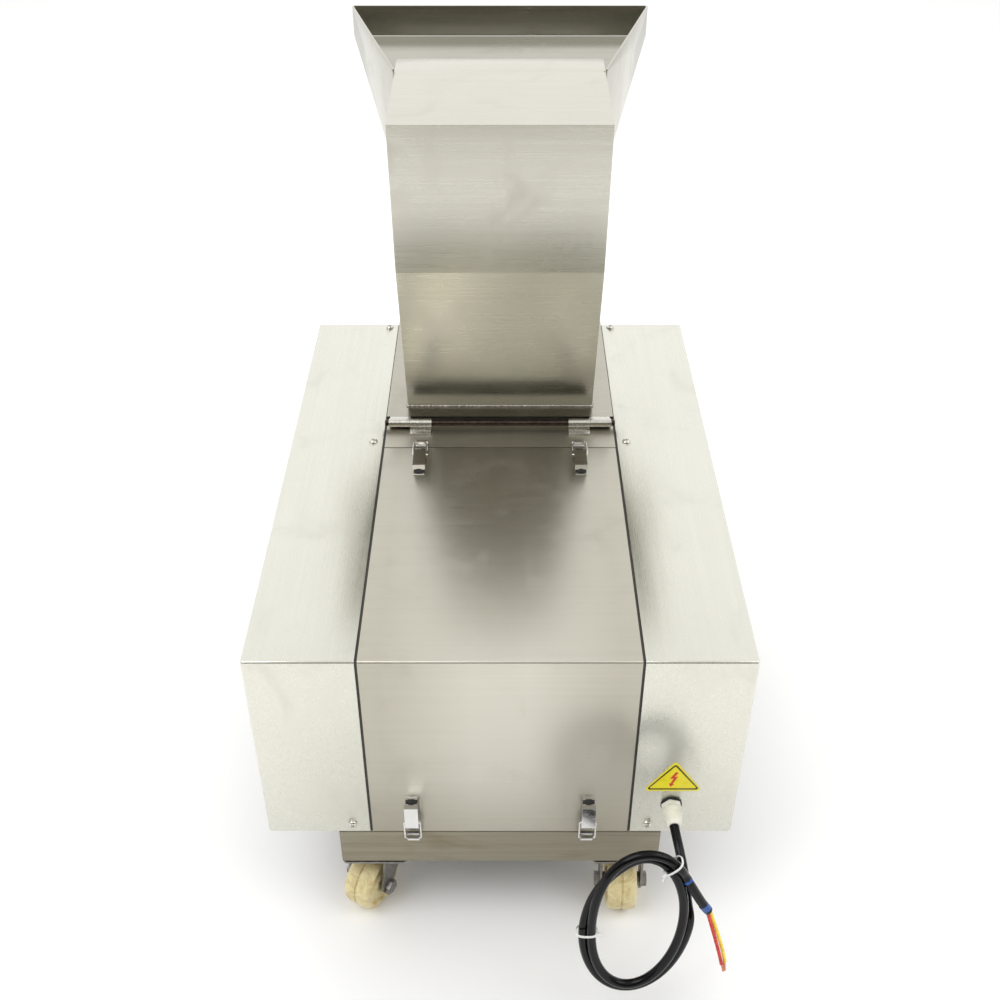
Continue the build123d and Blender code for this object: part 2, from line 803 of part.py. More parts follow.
def latch_catch(side_plane):
    """Foot and upright lip that the bail hooks over."""
    lip_end = catch_lip + catch_thickness
    outline = [
        (catch_lip - 2, 0), (catch_lip + 12, 0), (catch_lip + 12, 1.5), (lip_end, 1.5), (lip_end, catch_height),
        (catch_lip, catch_height), (catch_lip, 1.5), (catch_lip - 2, 1.5),
    ]
    return latch_slab(side_plane, outline, half_lever - 1)


def latch_lever(side_plane):
    """A channel-shaped lever that closes over the base."""
    end = -lever_length
    outline = [
        (end, 4.5), (end, latch_height), (-4, latch_height), (4.2, latch_pivot_height + 2.3),
        (4.2, latch_pivot_height - 2.2), (2, 2), (end + 4, 2),
    ]
    hollow = [(end + 1.4, 0), (end + 1.4, latch_height - 1.4), (-4, latch_height - 1.4), (5, 9), (6, 0)]
    with BuildPart() as lever:
        add(latch_slab(side_plane, outline, half_lever))
        add(latch_slab(side_plane, hollow, half_lever - lever_wall), mode=Mode.SUBTRACT)
        add(latch_pin(side_plane, 0, latch_pivot_height, 1.5 + run_clearance, half_lever + 1), mode=Mode.SUBTRACT)
        add(
            latch_pin(side_plane, -bail_offset, latch_pivot_height - 0.4, bail_wire / 2 + run_clearance,
                      half_lever + 1),
            mode=Mode.SUBTRACT,
        )
    return lever.part


def latch_bail(side_plane):
    """A wire loop from the lever's two holes round the catch."""
    start = side_plane.from_local_coords(Vector(-bail_offset, latch_pivot_height - 0.4, 0))
    hook = side_plane.from_local_coords(Vector(catch_wire, 4, 0))
    along = hook - start
    arm = half_lever + bail_clearance + bail_wire / 2
    tip = half_lever - lever_wall - 0.4
    wire_plane = Plane(start, x_dir=side_plane.z_dir, z_dir=side_plane.z_dir.cross(along))
    with BuildPart() as bail:
        with BuildLine(wire_plane) as route:
            FilletPolyline(
                (tip, 0), (arm, 0), (arm, along.length), (-arm, along.length), (-arm, 0), (-tip, 0),
                radius=bail_wire * 0.9,
            )
        with BuildSketch(Plane(route.line @ 0, z_dir=route.line % 0)):
            Circle(bail_wire / 2)
        sweep()
    return bail.part


latch_names = ("upper_left", "upper_right", "lower_left", "lower_right")
save(group(latch_base(latch_side(name)) for name in latch_names), "latch_bases")
save(group(latch_catch(latch_side(name)) for name in latch_names), "latch_catches")
for name in latch_names:
    save(latch_lever(latch_side(name)), f"latch_lever_{name}")
    save(latch_bail(latch_side(name)), f"latch_bail_{name}")


# ---------------------------------------------------------------- rotor, rollers and gears
def involute(angle):
    """The involute function of a pressure angle in radians."""
    return tan(angle) - angle


def gear(teeth, y, z, phase, bore, x_from):
    """A spur gear on an X axis with a tooth centred on phase, in degrees from +Y towards +Z."""
    pitch = gear_module * teeth / 2
    base = pitch * cos(radians(pressure_angle))
    tip, root = pitch + gear_module, pitch - 1.25 * gear_module
    half_tooth = pi / (2 * teeth) - gear_backlash / (2 * pitch)
    steps = [max(base, root) + (tip - max(base, root)) * step / 4 for step in range(5)]
    flank = [(root, half_tooth + involute(radians(pressure_angle)))] if root < base else []
    for radius in steps:
        lean = involute(radians(pressure_angle)) - involute(acos(min(1, base / radius)))
        flank.append((radius, half_tooth + lean))
    points = []
    for tooth in range(teeth):
        middle = radians(phase) + 2 * pi * tooth / teeth
        for radius, half in flank:
            points.append((y + radius * cos(middle - half), z + radius * sin(middle - half)))
        for radius, half in reversed(flank):
            points.append((y + radius * cos(middle + half), z + radius * sin(middle + half)))
    with BuildPart() as wheel:
        add(slab(points, x_from, x_from + gear_width))
        add(rod_x(y, z, bore / 2, x_from - 1, x_from + gear_width + 1), mode=Mode.SUBTRACT)
    return wheel.part


def pulley(radius, y, z, bore):
    """A V-belt pulley on the left side of the machine."""
    x_far, x_near = -pulley_start - pulley_width, -pulley_start
    middle = (x_far + x_near) / 2
    groove = 11
    top, bottom = 7, 7 - groove * tan(radians(19))
    with BuildPart() as wheel:
        with BuildSketch(Plane((0, y, z), x_dir=(1, 0, 0), z_dir=(0, -1, 0))):
            with BuildLine():
                Polyline(
                    (x_far, bore / 2), (x_near, bore / 2), (x_near, radius), (middle + top, radius),
                    (middle + bottom, radius - groove), (middle - bottom, radius - groove), (middle - top, radius),
                    (x_far, radius), close=True,
                )
            make_face()
        revolve(axis=Axis((0, y, z), (1, 0, 0)))
    return wheel.part


first_gear_x = wall_x + bearing_length + 8
main_gear_x = first_gear_x + gear_width + 6
shaft_end = main_gear_x + gear_width + 4
to_roller = degrees(atan2(roller_z - rotor_z, rear_roller_y - rotor_y))

with BuildPart() as destem_rotor:
    add(rod_x(rotor_y, rotor_z, rotor_shaft / 2, -pulley_start - pulley_width - 4, shaft_end))
    for station in range(paddle_stations):
        x = (station - (paddle_stations - 1) / 2) * 2 * (chamber_x - 16) / paddle_stations
        angle = 36 * station
        way = (0, cos(radians(angle)), sin(radians(angle)))
        with BuildSketch(Plane((x, rotor_y, rotor_z), x_dir=(1, 0, 0), z_dir=way)):
            Circle(paddle_rod / 2)
        extrude(amount=rotor_radius - 2, both=True)
        for turn in (-1, 1):
            paddle_way = (0, turn * way[1], turn * way[2])
            tip_plane = Plane((x, rotor_y, rotor_z), x_dir=(1, 0, 0), z_dir=paddle_way).offset(rotor_radius - 14)
            with BuildSketch(tip_plane):
                Rectangle(22, 5)
            extrude(amount=14)
save(destem_rotor.part, "destem_rotor")
save(pulley(rotor_pulley_radius, rotor_y, rotor_z, rotor_shaft), "rotor_pulley")
save(gear(rotor_teeth, rotor_y, rotor_z, to_roller, rotor_shaft, main_gear_x), "rotor_gear")


def roller(y, x_end):
    """A fluted crushing roller with its shaft."""
    with BuildPart() as piece:
        add(rod_x(y, roller_z, roller_radius, 4 - chamber_x, chamber_x - 4))
        with BuildSketch(Plane.YZ.offset(4 - chamber_x)):
            with Locations((y, roller_z)):
                with PolarLocations(roller_radius + 1, roller_flutes):
                    Circle(flute_radius)
        extrude(amount=2 * chamber_x - 8, mode=Mode.SUBTRACT)
        add(rod_x(y, roller_z, roller_shaft / 2, -wall_x - bearing_length, x_end))
    return piece.part


save(roller(front_roller_y, first_gear_x + gear_width), "roller_front")
save(roller(rear_roller_y, shaft_end), "roller_rear")
big_phase = to_roller + 180 + 180 / roller_teeth
rear_gears = [
    gear(roller_teeth, rear_roller_y, roller_z, big_phase, roller_shaft, main_gear_x),
    gear(idler_teeth, rear_roller_y, roller_z, 180, roller_shaft, first_gear_x),
]
save(group(rear_gears), "roller_rear_gears")
save(
    gear(idler_teeth, front_roller_y, roller_z, 180 / idler_teeth, roller_shaft, first_gear_x),
    "roller_front_gear",
)


def flange_bearing(side, y, z, shaft):
    """An oval two-bolt flange bearing on the outside of a side plate."""
    with BuildPart() as bearing:
        with BuildSketch(Plane.YZ.offset(side * wall_x)):
            with Locations((y, z)):
                Circle(bearing_radius + 2)
            with Locations((y, z - 38), (y, z + 38)):
                Circle(9)
            make_hull()
        extrude(amount=side * 6)
        with BuildSketch(Plane.YZ.offset(side * wall_x)):
            with Locations((y, z)):
                Circle(bearing_radius)
        extrude(amount=side * bearing_length)
        with BuildSketch(Plane.YZ.offset(side * wall_x)):
            with Locations((y, z)):
                Circle(shaft / 2 + run_clearance)
        extrude(amount=side * bearing_length, mode=Mode.SUBTRACT)
    return bearing.part


bearings = [flange_bearing(side, *shaft) for side in (-1, 1) for shaft in shafts]
save(group(bearings), "flange_bearings")

# ---------------------------------------------------------------- motor and belt
motor_left, motor_right = 30 - chamber_x, chamber_x - 28
with BuildPart() as motor_housing:
    add(rod_x(motor_y, motor_z, motor_radius - 8, motor_left, motor_right))
    for x_from, x_to in ((motor_left, motor_left + 22), (motor_right - 40, motor_right)):
        add(rod_x(motor_y, motor_z, motor_radius, x_from, x_to))
    fin_count = 24
    with BuildSketch(Plane.YZ.offset(motor_left)):
        with Locations((motor_y, motor_z)):
            with PolarLocations(motor_radius - 7, fin_count):
                Rectangle(12, 2.5)
    extrude(amount=motor_right - motor_left)
    for x in (motor_left + 45, motor_right - 65):
        add(block((x - 15, x + 15), (motor_y - 70, motor_y + 70),
                  (motor_z - motor_axis_height, motor_z - motor_axis_height + 26)))
    add(block((-45, 35), (motor_y - 35, motor_y + 35), (motor_z + motor_radius - 14, motor_z + motor_radius + 30)))
    add(rod_x(motor_y, motor_z, motor_shaft / 2 + run_clearance, motor_left - 1, motor_left + 60),
        mode=Mode.SUBTRACT)
save(motor_housing.part, "motor_housing")
save(
    rod_x(motor_y, motor_z, motor_shaft / 2, -pulley_start - pulley_width - 2, motor_left + 58), "motor_shaft"
)
save(pulley(motor_pulley_radius, motor_y, motor_z, motor_shaft), "motor_pulley")

belt_middle = -pulley_start - pulley_width / 2


with BuildPart() as drive_belt:
    for grow, mode in ((1, Mode.ADD), (1 - belt_thickness, Mode.SUBTRACT)):
        with BuildSketch(Plane.YZ.offset(belt_middle - belt_width / 2)):
            with Locations((motor_y, motor_z)):
                Circle(motor_pulley_radius + grow)
            with Locations((rotor_y, rotor_z)):
                Circle(rotor_pulley_radius + grow)
            make_hull()
        extrude(amount=belt_width, mode=mode)
save(drive_belt.part, "drive_belt")

# ---------------------------------------------------------------- sign and cable gland
with BuildPart() as warning_plate:
    sign_foot = (inner_x + sign_inset, front, body_floor + sign_rise)
    with BuildSketch(Plane(sign_foot, x_dir=(1, 0, 0), z_dir=(0, -1, 0))) as outline:
        with BuildLine():
            Polyline((-sign_base / 2, 0), (sign_base / 2, 0), (0, sign_height), close=True)
        make_face()
        fillet(outline.vertices(), sign_corner)
    extrude(amount=sign_thickness)
save(warning_plate.part, "warning_plate")

gland_face = Plane((gland_x, front, gland_z), x_dir=(1, 0, 0), z_dir=(0, -1, 0))
cord_radius = cord_diameter / 2
gland_length = 32
seal_thickness = 1.5
collar = 8
with BuildPart() as gland_body:
    with BuildSketch(gland_face):
        Circle(gland_hex / 2 + 1.5)
    extrude(amount=seal_thickness)
    with BuildSketch(gland_face.offset(seal_thickness)):
        RegularPolygon(gland_hex / 2, 6, major_radius=False)
    extrude(amount=collar - seal_thickness)
    with BuildSketch(gland_face):
        Circle(gland_hex / 2 - 3.2)
    extrude(amount=-14)
    with BuildSketch(gland_face.offset(collar)):
        Circle(cord_radius)
    extrude(amount=-collar - 14, mode=Mode.SUBTRACT)
save(gland_body.part, "gland_body")

with BuildPart() as gland_nut:
    with BuildSketch(Plane((gland_x, front, gland_z), x_dir=(1, 0, 0), z_dir=(0, 0, 1))):
        with BuildLine():
            Polyline(
                (cord_radius, -collar), (gland_hex / 2, -collar), (gland_hex / 2, -collar - 13),
                (gland_hex / 2 - 2.5, -gland_length + 4), (cord_radius + 1.8, -gland_length),
                (cord_radius, -gland_length), close=True,
            )
        make_face()
    revolve(axis=Axis((gland_x, front, gland_z), (0, 1, 0)))
save(gland_nut.part, "gland_nut")

# ---------------------------------------------------------------- cord
# The lead leaves the gland straight out and turns down into a tied coil that hangs in front of the
# body. The coil leans: its foot is further from the body than its top.
coil_half_width = 55.8
coil_half_height = 101
coil_lean = 9.4             # degrees from upright
coil_slant = 6              # degrees, top towards +X
coil_band = 20.5
coil_depth = 17
wire_diameter = 4.2
wire_side = 0.55            # of a wire's diameter, to each side of the pair's middle


def hang(aside, out, drop):
    """A place on the cord's route, from the middle of the gland's hole in the front face."""
    return gland_x + aside, front - out, gland_z - drop


coil_centre = hang(-45.5, 114, 65.5)
lead_points = [
    hang(0, gland_length, 0),
    hang(1.5, 49, 1),
    hang(4, 66, 7),
    hang(7, 80, 18.5),
    hang(10, 90.5, 33),
    hang(11.5, 97.5, 49.5),
]
tail_points = [
    hang(3, 101, -4.5),
    hang(11, 105, 8.5),
    hang(19, 107.5, 23.5),
    hang(26.5, 109, 37.5),
    hang(33.4, 109.3, 48.5),
]
wire_points = [
    hang(34, 110, 50),
    hang(41, 113.5, 71.5),
    hang(49, 117.5, 97.5),
    hang(56, 122, 123.5),
    hang(59, 126, 141.5),
]


def corner_radii(points):
    """The largest tidy arc for each corner of a route: 0.45 of its shorter run."""
    radii = []
    for before, here, after in zip(points, points[1:], points[2:]):
        run_in, run_out = Vector(here) - Vector(before), Vector(after) - Vector(here)
        turn = radians(run_in.get_angle(run_out))
        radii.append(0.45 * min(run_in.length, run_out.length) / tan(turn / 2))
    return radii


def tube(points, diameter, name):
    """A round tube along straight runs and tangent arcs."""
    radii = corner_radii(points)
    with BuildPart() as piece:
        with BuildLine() as route:
            FilletPolyline(*points, radius=radii)
        with BuildSketch(Plane(route.line @ 0, z_dir=route.line % 0)):
            Circle(diameter / 2)
        sweep()
    path_length = route.wire().length
    expected = pi * diameter**2 / 4 * path_length
    print(name, "length", round(path_length, 1), "volume ratio", round(piece.part.volume / expected, 4),
          "radii", [round(radius) for radius in radii])
    return piece.part


save(tube(lead_points, cord_diameter, "cord_lead"), "cord_lead")
save(tube(tail_points, cord_diameter, "cord_tail"), "cord_tail")
wires = []
for shift_x in (-wire_diameter * wire_side, wire_diameter * wire_side):
    points = [(x + shift_x, y, z) for x, y, z in wire_points]
    wires.append(tube(points, wire_diameter, "conductor"))
save(group(wires), "cord_conductors")

coil_plane = Plane(
    coil_centre, x_dir=(cos(radians(coil_slant)), 0, -sin(radians(coil_slant))),
    z_dir=(0, -cos(radians(coil_lean)), sin(radians(coil_lean))),
)
with BuildPart() as cord_coil:
    with BuildSketch(coil_plane.offset(-coil_depth / 2)):
        Ellipse(coil_half_width + coil_band / 2, coil_half_height + coil_band / 2 + 4)
        Ellipse(coil_half_width - coil_band / 2, coil_half_height - coil_band / 2, mode=Mode.SUBTRACT)
    extrude(amount=coil_depth)
save(cord_coil.part, "cord_coil")
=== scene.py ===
from math import cos, hypot, pi, radians, sin

import bmesh
import bpy
from mathutils import Matrix, Vector, noise


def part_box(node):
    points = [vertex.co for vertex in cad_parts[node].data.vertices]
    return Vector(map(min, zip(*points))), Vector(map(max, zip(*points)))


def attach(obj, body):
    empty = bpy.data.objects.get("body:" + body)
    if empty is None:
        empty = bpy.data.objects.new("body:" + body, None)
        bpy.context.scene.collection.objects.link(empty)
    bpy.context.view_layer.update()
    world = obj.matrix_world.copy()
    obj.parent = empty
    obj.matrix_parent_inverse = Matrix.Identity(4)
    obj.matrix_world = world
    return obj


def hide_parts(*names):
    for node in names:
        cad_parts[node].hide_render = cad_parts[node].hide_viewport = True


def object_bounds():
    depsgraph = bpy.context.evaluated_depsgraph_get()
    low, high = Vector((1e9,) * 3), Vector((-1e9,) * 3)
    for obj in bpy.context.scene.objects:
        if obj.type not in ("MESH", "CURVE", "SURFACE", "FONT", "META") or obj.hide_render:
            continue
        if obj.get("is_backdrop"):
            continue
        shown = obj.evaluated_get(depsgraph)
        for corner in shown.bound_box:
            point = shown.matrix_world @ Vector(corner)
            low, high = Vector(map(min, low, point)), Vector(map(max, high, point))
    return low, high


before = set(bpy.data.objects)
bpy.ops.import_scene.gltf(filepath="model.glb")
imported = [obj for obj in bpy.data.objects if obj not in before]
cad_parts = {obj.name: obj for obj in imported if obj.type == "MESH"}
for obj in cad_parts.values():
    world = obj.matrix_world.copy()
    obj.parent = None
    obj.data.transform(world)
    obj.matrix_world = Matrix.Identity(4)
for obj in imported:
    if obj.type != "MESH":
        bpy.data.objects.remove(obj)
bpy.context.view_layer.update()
MM = 0.001


def metres(points):
    """Points given in millimetres, as vectors in metres."""
    return [Vector(point) * MM for point in points]


# ---------------------------------------------------------------- places taken from the frame
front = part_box("front_cover")[0].y / MM
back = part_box("left_side_cover")[1].y / MM
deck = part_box("front_cover")[1].z / MM
body_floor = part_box("front_cover")[0].z / MM
cover_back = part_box("front_cover")[1].y / MM
cover_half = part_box("front_cover")[1].x / MM
body_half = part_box("right_side_cover")[1].x / MM
side_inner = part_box("right_side_cover")[0].x / MM
hopper_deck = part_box("hopper_base_plate")[1].z / MM
sheet = 1.5
hopper_sheet = 2.0

# ---------------------------------------------------------------- camera
CAMERA_DISTANCE = 927.5     # in front of the body's front face
CAMERA_HEIGHT = 1369.8
CAMERA_PITCH = 37.23        # below the horizon
CAMERA_LENS = 44.2

camera_data = bpy.data.cameras.new("camera")
camera_data.lens = CAMERA_LENS
camera_data.sensor_width = 36
camera = bpy.data.objects.new("camera", camera_data)
camera.location = Vector((0, front - CAMERA_DISTANCE, CAMERA_HEIGHT)) * MM
camera.rotation_euler = (radians(90 - CAMERA_PITCH), 0, 0)
bpy.context.scene.collection.objects.link(camera)
bpy.context.scene.camera = camera


# ---------------------------------------------------------------- mesh helpers
def new_object(name, data):
    """An object for this data, linked into the scene."""
    piece = bpy.data.objects.new(name, data)
    bpy.context.scene.collection.objects.link(piece)
    return piece


def finish_mesh(name, mesh_tool, material, body, stands_for=(), sharp=35, closed=True):
    """Turns a bmesh into a piece on a body, smooth except at sharp edges."""
    if closed:
        bmesh.ops.recalc_face_normals(mesh_tool, faces=mesh_tool.faces)
    mesh = bpy.data.meshes.new(name)
    mesh_tool.to_mesh(mesh)
    mesh_tool.free()
    mesh.set_sharp_from_angle(angle=radians(sharp))
    for polygon in mesh.polygons:
        polygon.use_smooth = True
    piece = new_object(name, mesh)
    piece.data.materials.append(material)
    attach(piece, body)
    if stands_for:
        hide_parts(*stands_for)
    return piece


def shell(name, corners, faces, bends, bend_radius, thickness, offset, material, body, stands_for=()):
    """Folded sheet metal: faces between named corners, rounded along its bends and given a thickness.

    corners maps a name to a point in mm, faces are tuples of names, bends are pairs of names, and
    offset is -1 for a thickness that goes inwards from the faces or 1 for outwards.
    """
    tool = bmesh.new()
    made = {key: tool.verts.new(Vector(point) * MM) for key, point in corners.items()}
    for face in faces:
        tool.faces.new([made[key] for key in face])
    bmesh.ops.recalc_face_normals(tool, faces=tool.faces)
    middle = sum((vert.co for vert in tool.verts), Vector()) / len(tool.verts)
    for face in tool.faces:
        face.normal_update()
    facing = sum(
        face.normal.dot(face.calc_center_median() - middle) * face.calc_area() for face in tool.faces
    )
    if facing < 0:
        bmesh.ops.reverse_faces(tool, faces=tool.faces)
    folds = [tool.edges.get((made[a], made[b])) for a, b in bends]
    bmesh.ops.bevel(
        tool, geom=[edge for edge in folds if edge], offset=bend_radius * MM, segments=4, profile=0.5,
        affect="EDGES", clamp_overlap=True,
    )
    piece = finish_mesh(name, tool, material, body, stands_for, sharp=50, closed=False)
    solid = piece.modifiers.new("thickness", "SOLIDIFY")
    solid.thickness = thickness * MM
    solid.offset = offset
    solid.use_even_offset = True
    edge = piece.modifiers.new("edge", "BEVEL")
    edge.width = thickness * 0.18 * MM
    edge.segments = 2
    edge.limit_method = "ANGLE"
    edge.angle_limit = radians(60)
    return piece


def lathe(name, profile, origin, axis, material, body, stands_for=(), steps=64, sharp=35):
    """A turned piece: (radius, height along axis) pairs in mm, spun about axis through origin."""
    axis = Vector(axis).normalized()
    side = axis.orthogonal().normalized()
    other = axis.cross(side)
    centre = Vector(origin)
    tool = bmesh.new()
    rings = []
    for radius, height in profile:
        base = centre + axis * height
        if radius < 1e-6:
            rings.append([tool.verts.new(base * MM)])
            continue
        ring = []
        for step in range(steps):
            angle = 2 * pi * step / steps
            ring.append(tool.verts.new((base + (side * cos(angle) + other * sin(angle)) * radius) * MM))
        rings.append(ring)
    for low, high in zip(rings, rings[1:]):
        for step in range(steps):
            follow = (step + 1) % steps
            corners = [
                low[step % len(low)], low[follow % len(low)], high[follow % len(high)], high[step % len(high)]
            ]
            unique = list(dict.fromkeys(corners))
            if len(unique) > 2:
                tool.faces.new(unique)
    return finish_mesh(name, tool, material, body, stands_for, sharp)


def dressed(node, material, bevel, body, segments=2):
    """A copy of a CAD node's shape with clean shading and softened edges, which stands for it."""
    tool = bmesh.new()
    tool.from_mesh(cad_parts[node].data)
    bmesh.ops.remove_doubles(tool, verts=tool.verts, dist=0.00001)
    bmesh.ops.dissolve_limit(tool, angle_limit=radians(0.5), verts=tool.verts, edges=tool.edges)
    piece = finish_mesh(f"{node}_finish", tool, material, body, (node,), sharp=35)
    edge = piece.modifiers.new("edge", "BEVEL")
    edge.width = bevel * MM
    edge.segments = segments
    edge.limit_method = "ANGLE"
    edge.angle_limit = radians(40)
    edge.harden_normals = True
    return piece


def weld_bead(name, points, radius, material, body, sides, wobble):
    """A closed bead round through points in mm. wobble varies its radius."""
    path = [Vector(point) for point in points]
    count = len(path)
    tool = bmesh.new()
    rings = []
    for index, here in enumerate(path):
        along = (path[(index + 1) % count] - path[index - 1]).normalized()
        side = along.cross(Vector((0, 0, 1))).normalized()
        up = side.cross(along)
        size = radius * (1 + wobble * noise.noise(here * 0.35))
        ring = []
        for step in range(sides):
            angle = 2 * pi * step / sides
            ring.append(tool.verts.new((here + (side * cos(angle) + up * sin(angle)) * size) * MM))
        rings.append(ring)
    for low, high in zip(rings, rings[1:] + rings[:1]):
        for step in range(sides):
            follow = (step + 1) % sides
            tool.faces.new((low[step], low[follow], high[follow], high[step]))
    return finish_mesh(name, tool, material, body, sharp=60)


# ---------------------------------------------------------------- materials
class Nodes:
    """A short way to build a material's node tree."""

    def __init__(self, name):
        self.material = bpy.data.materials.new(name)
        self.material.use_nodes = True
        self.tree = self.material.node_tree
        self.shader = self.tree.nodes["Principled BSDF"]
        self.place = self.tree.nodes.new("ShaderNodeTexCoord").outputs["Object"]

    def add(self, kind, **values):
        node = self.tree.nodes.new(kind)
        for key, value in values.items():
            setattr(node, key, value)
        return node

    def link(self, source, target):
        self.tree.links.new(source, target)

    def noise(self, scale, detail=3.0, roughness=0.5, distortion=0.0):
        """Noise with a scale per axis, in cycles per metre."""
        mapping = self.add("ShaderNodeMapping")
        self.link(self.place, mapping.inputs["Vector"])
        mapping.inputs["Scale"].default_value = scale
        texture = self.add("ShaderNodeTexNoise")
        texture.inputs["Scale"].default_value = 1.0
        texture.inputs["Detail"].default_value = detail
        texture.inputs["Roughness"].default_value = roughness
        texture.inputs["Distortion"].default_value = distortion
        self.link(mapping.outputs["Vector"], texture.inputs["Vector"])
        return texture.outputs["Fac"]

    def remap(self, value, low, high, to_low, to_high):
        node = self.add("ShaderNodeMapRange")
        node.inputs["From Min"].default_value = low
        node.inputs["From Max"].default_value = high
        node.inputs["To Min"].default_value = to_low
        node.inputs["To Max"].default_value = to_high
        self.link(value, node.inputs["Value"])
        return node.outputs["Result"]

    def blend(self, factor, first, second, mode="MIX"):
        """Colours mixed by a factor; each side is a colour or a socket."""
        node = self.add("ShaderNodeMix", data_type="RGBA", blend_type=mode)
        sockets = {socket.identifier: socket for socket in node.inputs}
        if isinstance(factor, float):
            sockets["Factor_Float"].default_value = factor
        else:
            self.link(factor, sockets["Factor_Float"])
        for key, value in (("A_Color", first), ("B_Color", second)):
            if isinstance(value, tuple):
                sockets[key].default_value = (*value, 1)
            else:
                self.link(value, sockets[key])
        return next(socket for socket in node.outputs if socket.identifier == "Result_Color")

    def maths(self, operation, first, second):
        node = self.add("ShaderNodeMath", operation=operation)
        for socket, value in zip(node.inputs, (first, second)):
            if isinstance(value, (int, float)):
                socket.default_value = value
            else:
                self.link(value, socket)
        return node.outputs["Value"]

    def bump(self, height, strength, distance):
        node = self.add("ShaderNodeBump")
        node.inputs["Strength"].default_value = strength
        node.inputs["Distance"].default_value = distance
        self.link(height, node.inputs["Height"])
        self.link(node.outputs["Normal"], self.shader.inputs["Normal"])

    def finish(self, colour, rough, metallic=0.0, **fixed):
        """Sets the shader's inputs. colour and rough are sockets or plain values."""
        if isinstance(colour, tuple):
            self.shader.inputs["Base Color"].default_value = (*colour, 1)
        else:
            self.link(colour, self.shader.inputs["Base Color"])
        if isinstance(rough, float):
            self.shader.inputs["Roughness"].default_value = rough
        else:
            self.link(rough, self.shader.inputs["Roughness"])
        self.shader.inputs["Metallic"].default_value = metallic
        for key, value in fixed.items():
            self.shader.inputs[key.replace("_", " ")].default_value = value
        return self.material


GRAIN_ALONG = {"X": (6, 900, 900), "Y": (900, 6, 900), "Z": (900, 900, 6)}
STREAK_ALONG = {"X": (2.5, 160, 160), "Y": (160, 2.5, 160), "Z": (160, 160, 2.5)}


def brushed(name, light, dark, grain, rough, smudge=0.25, painted_shade=()):
    """Brushed stainless sheet: fine grain, longer streaks, cloudy patches and a few smudges.

    painted_shade lists bands of painted shade, where the sheet is darkened: (axis, start and end in metres,
    share of light left).
    """
    make = Nodes(name)
    fine = make.noise(GRAIN_ALONG[grain], 2.0, 0.6)
    streak = make.noise(STREAK_ALONG[grain], 4.0, 0.65)
    cloud = make.noise((5, 5, 5), 4.0, 0.55, 0.4)
    patch = make.noise((17, 14, 11), 5.0, 0.6, 0.8)
    tone = make.maths("ADD", make.remap(streak, 0.3, 0.7, 0.0, 0.55), make.remap(cloud, 0.3, 0.7, 0.0, 0.45))
    colour = make.blend(tone, dark, light)
    stain = make.remap(patch, 0.58, 0.78, 0.0, smudge)
    colour = make.blend(stain, colour, tuple(channel * 0.82 for channel in dark))
    # Painted shade: each band darkens the colour towards its end, down to its share of light left.
    for axis, start, end, left in painted_shade:
        split = make.add("ShaderNodeSeparateXYZ")
        make.link(make.place, split.inputs["Vector"])
        share = make.remap(split.outputs[axis], start, end, 0.0, 1.0)
        darker = make.blend(1.0, colour, (left, left * 0.985, left * 0.95), "MULTIPLY")
        colour = make.blend(share, colour, darker)
    scuffed = make.remap(patch, 0.5, 0.8, 0.0, 0.10)
    level = make.maths("ADD", make.remap(fine, 0.25, 0.75, rough[0], rough[1]), scuffed)
    height = make.maths("ADD", fine, make.maths("MULTIPLY", streak, 0.6))
    make.bump(height, 0.10, 0.00012)
    return make.finish(colour, level, metallic=1.0)


def heat_tinted(name, light, dark):
    """Coarsely brushed tube with brown heat tints and dull oxide patches."""
    make = Nodes(name)
    fine = make.noise(GRAIN_ALONG["X"], 2.0, 0.6)
    streak = make.noise(STREAK_ALONG["X"], 4.0, 0.7)
    heat = make.noise((7, 22, 26), 4.0, 0.6, 0.6)
    colour = make.blend(make.remap(streak, 0.3, 0.7, 0.0, 1.0), dark, light)
    colour = make.blend(make.remap(heat, 0.52, 0.74, 0.0, 0.7), colour, (0.21, 0.165, 0.10))
    make.bump(make.maths("ADD", fine, streak), 0.16, 0.00015)
    return make.finish(colour, make.remap(fine, 0.2, 0.8, 0.34, 0.55), metallic=1.0)


def polished(name, tint, rough=(0.08, 0.18)):
    """Bright plated metal with faint wear."""
    make = Nodes(name)
    wear = make.noise((120, 120, 120), 4.0, 0.6)
    patch = make.noise((45, 45, 45), 3.0, 0.5)
    worn_tint = tuple(channel * 0.72 for channel in tint)
    colour = make.blend(make.remap(patch, 0.35, 0.7, 0.0, 0.4), tint, worn_tint)
    make.bump(wear, 0.04, 0.0001)
    return make.finish(colour, make.remap(wear, 0.3, 0.75, rough[0], rough[1]), metallic=1.0)


def rough_metal(name, light, dark, rough=(0.35, 0.6), metallic=1.0, scale=90, depth=0.2):
    """Zinc plate, castings and turned steel, by scale and roughness."""
    make = Nodes(name)
    spot = make.noise((scale, scale, scale), 5.0, 0.65)
    cloud = make.noise((14, 14, 14), 3.0, 0.5)
    colour = make.blend(make.remap(spot, 0.3, 0.72, 0.0, 1.0), dark, light)
    colour = make.blend(make.remap(cloud, 0.45, 0.75, 0.0, 0.4), colour, dark)
    make.bump(spot, depth, 0.0003)
    return make.finish(colour, make.remap(spot, 0.25, 0.75, rough[0], rough[1]), metallic=metallic)


def nylon_material():
    """Cream nylon, scuffed and stained with brown dirt."""
    make = Nodes("stained_nylon")
    dirt = make.noise((60, 60, 60), 6.0, 0.7, 1.2)
    speck = make.noise((340, 340, 340), 3.0, 0.7)
    colour = make.blend(make.remap(dirt, 0.42, 0.72, 0.0, 0.85), (0.80, 0.70, 0.40), (0.50, 0.37, 0.13))
    colour = make.blend(make.remap(speck, 0.62, 0.76, 0.0, 0.8), colour, (0.20, 0.14, 0.07))
    make.bump(speck, 0.05, 0.0002)
    return make.finish(colour, make.remap(dirt, 0.3, 0.7, 0.32, 0.5), Subsurface_Weight=0.08)


